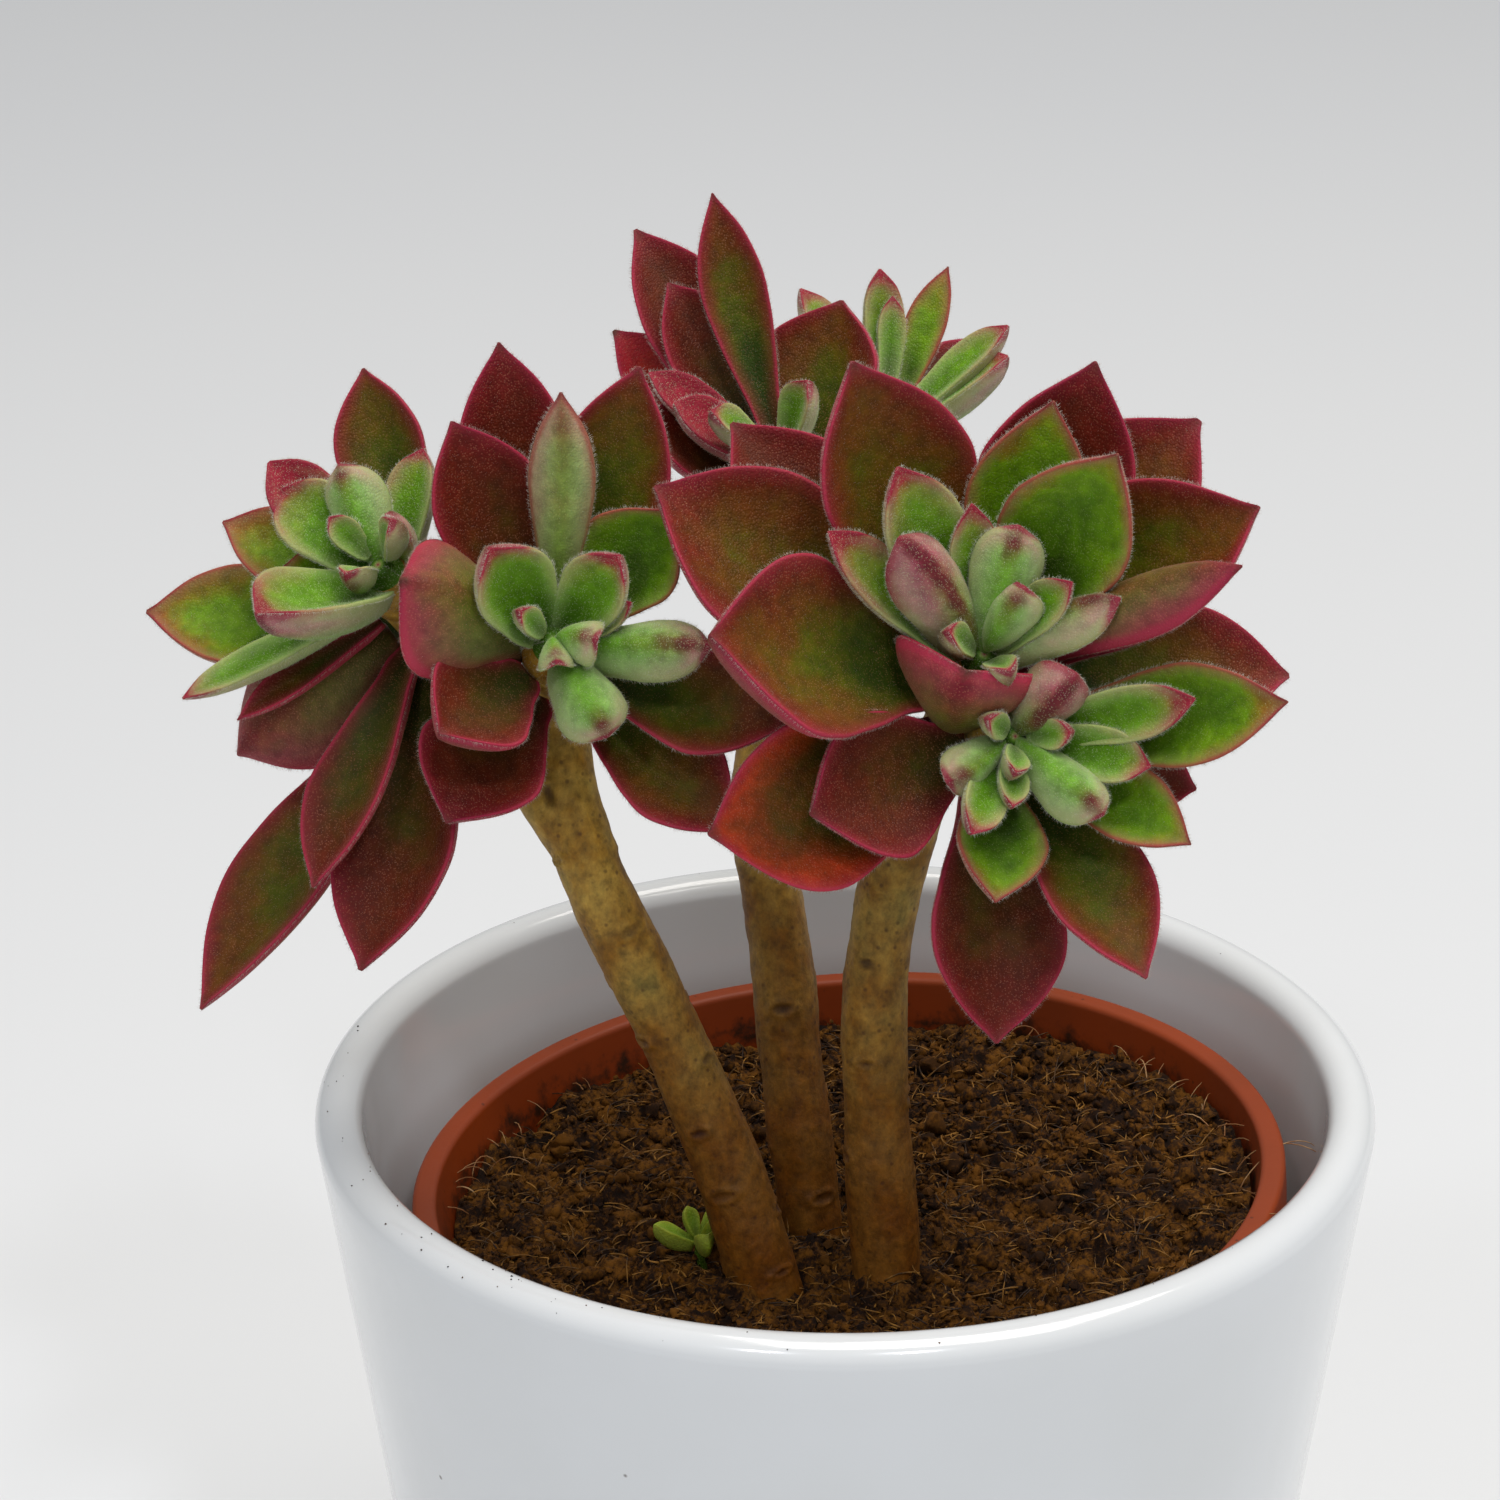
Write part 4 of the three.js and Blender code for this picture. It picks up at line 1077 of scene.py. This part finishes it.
def scatterCrumbs(name, count, sizes, detail, skin, radius, level):
    # angular lumps, more small ones than big ones
    low, high = sizes
    shape = bmesh.new()
    bmesh.ops.create_icosphere(shape, subdivisions=detail, radius=1)
    ball = np.array([v.co for v in shape.verts])
    shape.verts.index_update()
    sides = np.array([[v.index for v in face.verts] for face in shape.faces])
    shape.free()
    reach = (radius - 1.0) * np.sqrt(dice.random(count))
    angle = dice.uniform(0, 2 * math.pi, count)
    x, y = reach * np.cos(angle), reach * np.sin(angle)
    size = low * (high / low) ** (dice.random(count) ** 2)
    spots = np.stack([x, y, soilHeight(x, y, level) + size * 0.25], -1)
    keep = keepOff(spots, soil["offStem"])
    spots, size = spots[keep], size[keep]
    count = len(spots)
    squash = dice.uniform(0.55, 1.25, (count, 1, 3))
    lumps = dice.uniform(0.5, 1.35, (count, len(ball), 1))
    tumble = [Matrix.Rotation(a, 3, Vector(w)) for a, w in zip(
        dice.uniform(0, 6.28, count), unit(dice.normal(0, 1, (count, 3))))]
    body = ball[None] * squash * lumps * size[:, None, None]
    body = np.einsum("nij,nkj->nki", np.array(tumble), body) + spots[:, None]
    faces = (np.arange(count)[:, None, None] * len(ball) + sides).reshape(-1, 3)
    tone = np.clip(dice.exponential(0.16, count), 0, 1)
    piece = makePiece(
        name, toWorld(body.reshape(-1, 3)), faces.tolist(), skin,
        data={"crumbTone": np.repeat(tone, len(ball))},
    )
    if detail < 2:
        piece.data.shade_flat()
    return piece


def layThreads(name, lengths, radii, skin, starts, headings, steps, rise, spread):
    # bent threads of five sides; rise is the pitch they set out at, low and high
    points, faces, first, sides = [], [], 0, 5
    angle = np.linspace(0, 2 * math.pi, sides, endpoint=False)
    for spot, heading in zip(starts, headings):
        length = dice.uniform(*lengths)
        thick = dice.uniform(*radii)
        pitch = dice.uniform(*rise)
        bend, dip = dice.normal(0, spread), dice.normal(-0.3, 0.1) * rise[1]
        line = [spot]
        for _ in range(steps - 1):
            flat = math.cos(pitch)
            way = np.array([math.cos(heading) * flat, math.sin(heading) * flat, math.sin(pitch)])
            spot = spot + way * length / (steps - 1)
            heading += bend + dice.normal(0, 0.12)
            pitch += dip
            line.append(spot)
        line = np.array(line)
        way = unit(np.gradient(line, axis=0))
        side = unit(np.cross(way, [0.1, 0.2, 1]))
        other = np.cross(way, side)
        taper = np.linspace(1, 0.55, steps)[:, None, None] * thick
        hoop = np.cos(angle)[:, None] * side[:, None] + np.sin(angle)[:, None] * other[:, None]
        rings = line[:, None] + taper * hoop
        points += [rings.reshape(-1, 3), line[[0, -1]]]
        faces += tubeFaces(steps, sides, first)
        first += steps * sides + 2
    return makePiece(name, toWorld(np.concatenate(points)), faces, skin)


def layCoir(radius, level):
    count = soil["fibres"]
    reach = (radius - 3) * np.sqrt(dice.random(count))
    angle = dice.uniform(0, 2 * math.pi, count)
    x, y = reach * np.cos(angle), reach * np.sin(angle)
    starts = np.stack([x, y, soilHeight(x, y, level) + 0.3], -1)
    layThreads(
        "coir_fibres", soil["fibreLength"], soil["fibreRadius"],
        fibreSkin("coirFibre", soil["fibre"], soil["fibreShade"]), starts,
        dice.uniform(0, 6.28, count), 6, (-0.1, 0.5), 0.16,
    )


def spillGrains(skin):
    # a few grains lie on the cover pot's rim, most at the front left
    count, lip = soil["spilt"], coverPot["wall"] / 2
    angle = np.where(
        dice.random(count) < 0.7, dice.normal(3.8, 0.4, count), dice.uniform(0, 6.28, count)
    )
    low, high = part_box("outer_pot")
    reach = dice.uniform(-0.95, 0.8, count) * lip
    size = dice.uniform(*soil["spiltSize"], count)
    top = high.z / mm - lip + np.sqrt(lip**2 - reach**2) + size * 0.3
    spots = circle((high.x - low.x) / 2 / mm - lip + reach, angle, top)
    grain = np.array([(1, 0, 0), (-1, 0, 0), (0, 1, 0), (0, -1, 0), (0, 0, 1), (0, 0, -1)])
    body = grain * dice.uniform(0.5, 1.4, (count, 6, 1)) * size[:, None, None] + spots[:, None]
    sides = [(0, 2, 4), (2, 1, 4), (1, 3, 4), (3, 0, 4), (2, 0, 5), (1, 2, 5), (3, 1, 5), (0, 3, 5)]
    faces = (np.arange(count)[:, None, None] * 6 + np.array(sides)).reshape(-1, 3)
    makePiece(
        "spilt_compost", body.reshape(-1, 3) * mm, faces.tolist(), skin,
        data={"crumbTone": np.zeros(count * 6)},
    )


def layRoots(radius, level):
    # fine pale roots that have grown up over the nursery pot's edge, most on the right
    count = soil["rootlets"]
    angle = np.where(
        dice.random(count) < 0.75, dice.normal(0.35, 0.4, count), dice.normal(2.7, 0.3, count)
    )
    layThreads(
        "fine_roots", soil["rootletLength"], soil["rootletRadius"],
        fibreSkin("fineRoot", soil["rootlet"], soil["rootletShade"]),
        circle(radius - 2, angle, level + 0.5), angle + dice.normal(0, 1.2, count), 14, (0.6, 1.2), 0.1,
    )


soilRadius, soilLevel = makeSoil()
crumbSkin = soilSkin("compostCrumb", 0.5)
scatterCrumbs("compost_crumbs", soil["crumbs"], soil["crumbSize"], 2, crumbSkin, soilRadius, soilLevel)
scatterCrumbs("compost_grit", soil["grit"], soil["gritSize"], 1, crumbSkin, soilRadius, soilLevel)
layCoir(soilRadius, soilLevel)
spillGrains(crumbSkin)
layRoots(soilRadius, soilLevel)
print("compost laid")

# Studio: pale seamless floor, an even pale sky, a big soft light above and two weak ones in front.
studio = {
    "floor": "#e6e7e8", "floorHaze": "#e2e4e7", "floorHalf": 4,  # metres
    "sky": "#f0f2f5", "skyStrength": 0.46,
    "top": {"at": (0.25, 0.0, 1.5), "size": 1.0, "power": 15.5, "colour": "#fffaf2"},
    "left": {"at": (-0.35, -0.9, 1.2), "size": 0.12, "power": 2.0, "colour": "#f6f9ff"},
    "right": {"at": (0.25, -0.9, 1.2), "size": 0.12, "power": 2.6, "colour": "#f6f9ff"},
}


def makeStudio():
    skin, add = newMaterial("paleFloor")
    where = add("TexCoord").outputs["Object"]
    haze = add("TexNoise", {"Vector": where, "Scale": 3.0, "Detail": 2})
    colour = add("Mix", {0: haze, 6: studio["floor"], 7: studio["floorHaze"]}, data_type="RGBA")
    shader = add("BsdfPrincipled", {"Base Color": colour, "Roughness": 0.85, "Specular IOR Level": 0.2})
    add("OutputMaterial", {"Surface": shader})
    mesh = bpy.data.meshes.new("studio_floor")
    half = studio["floorHalf"]
    corners = [(-half, -half, 0), (half, -half, 0), (half, half, 0), (-half, half, 0)]
    mesh.from_pydata(corners, [], [(0, 1, 2, 3)])
    mesh.materials.append(skin)
    floor = bpy.data.objects.new("studio_floor", mesh)
    bpy.context.scene.collection.objects.link(floor)
    middle = (Vector(cadLow) + Vector(cadHigh)) / 2
    for name in ("top", "left", "right"):
        look = studio[name]
        lamp = bpy.data.lights.new(f"{name}Light", "AREA")
        lamp.size, lamp.energy, lamp.color = look["size"], look["power"], linear(look["colour"])[:3]
        light = bpy.data.objects.new(f"{name}Light", lamp)
        light.location = look["at"]
        light.rotation_euler = (middle - Vector(look["at"])).to_track_quat("-Z", "Y").to_euler()
        bpy.context.scene.collection.objects.link(light)
    world = bpy.data.worlds.new("studioSky")
    world.use_nodes = True
    sky = world.node_tree.nodes["Background"]
    sky.inputs["Color"].default_value = linear(studio["sky"])
    sky.inputs["Strength"].default_value = studio["skyStrength"]
    bpy.context.scene.world = world
    bpy.context.scene.view_settings.view_transform = "Standard"


camera = {
    "at": (-0.0124, -0.58025, 0.4318), "down": 23.54, "roll": -0.62,  # metres, degrees
    "lens": 114.2,  # mm on a 36 mm sensor
}


def makeCamera():
    lens = bpy.data.cameras.new("viewCamera")
    lens.lens, lens.sensor_width = camera["lens"], 36
    lens.clip_start, lens.clip_end = 0.05, 20
    view = bpy.data.objects.new("viewCamera", lens)
    view.matrix_world = (
        Matrix.Translation(camera["at"])
        @ Matrix.Rotation(math.radians(90 - camera["down"]), 4, "X")
        @ Matrix.Rotation(math.radians(camera["roll"]), 4, "Z")
    )
    bpy.context.scene.collection.objects.link(view)
    bpy.context.scene.camera = view


makeStudio()
makeCamera()
print("scene ready")
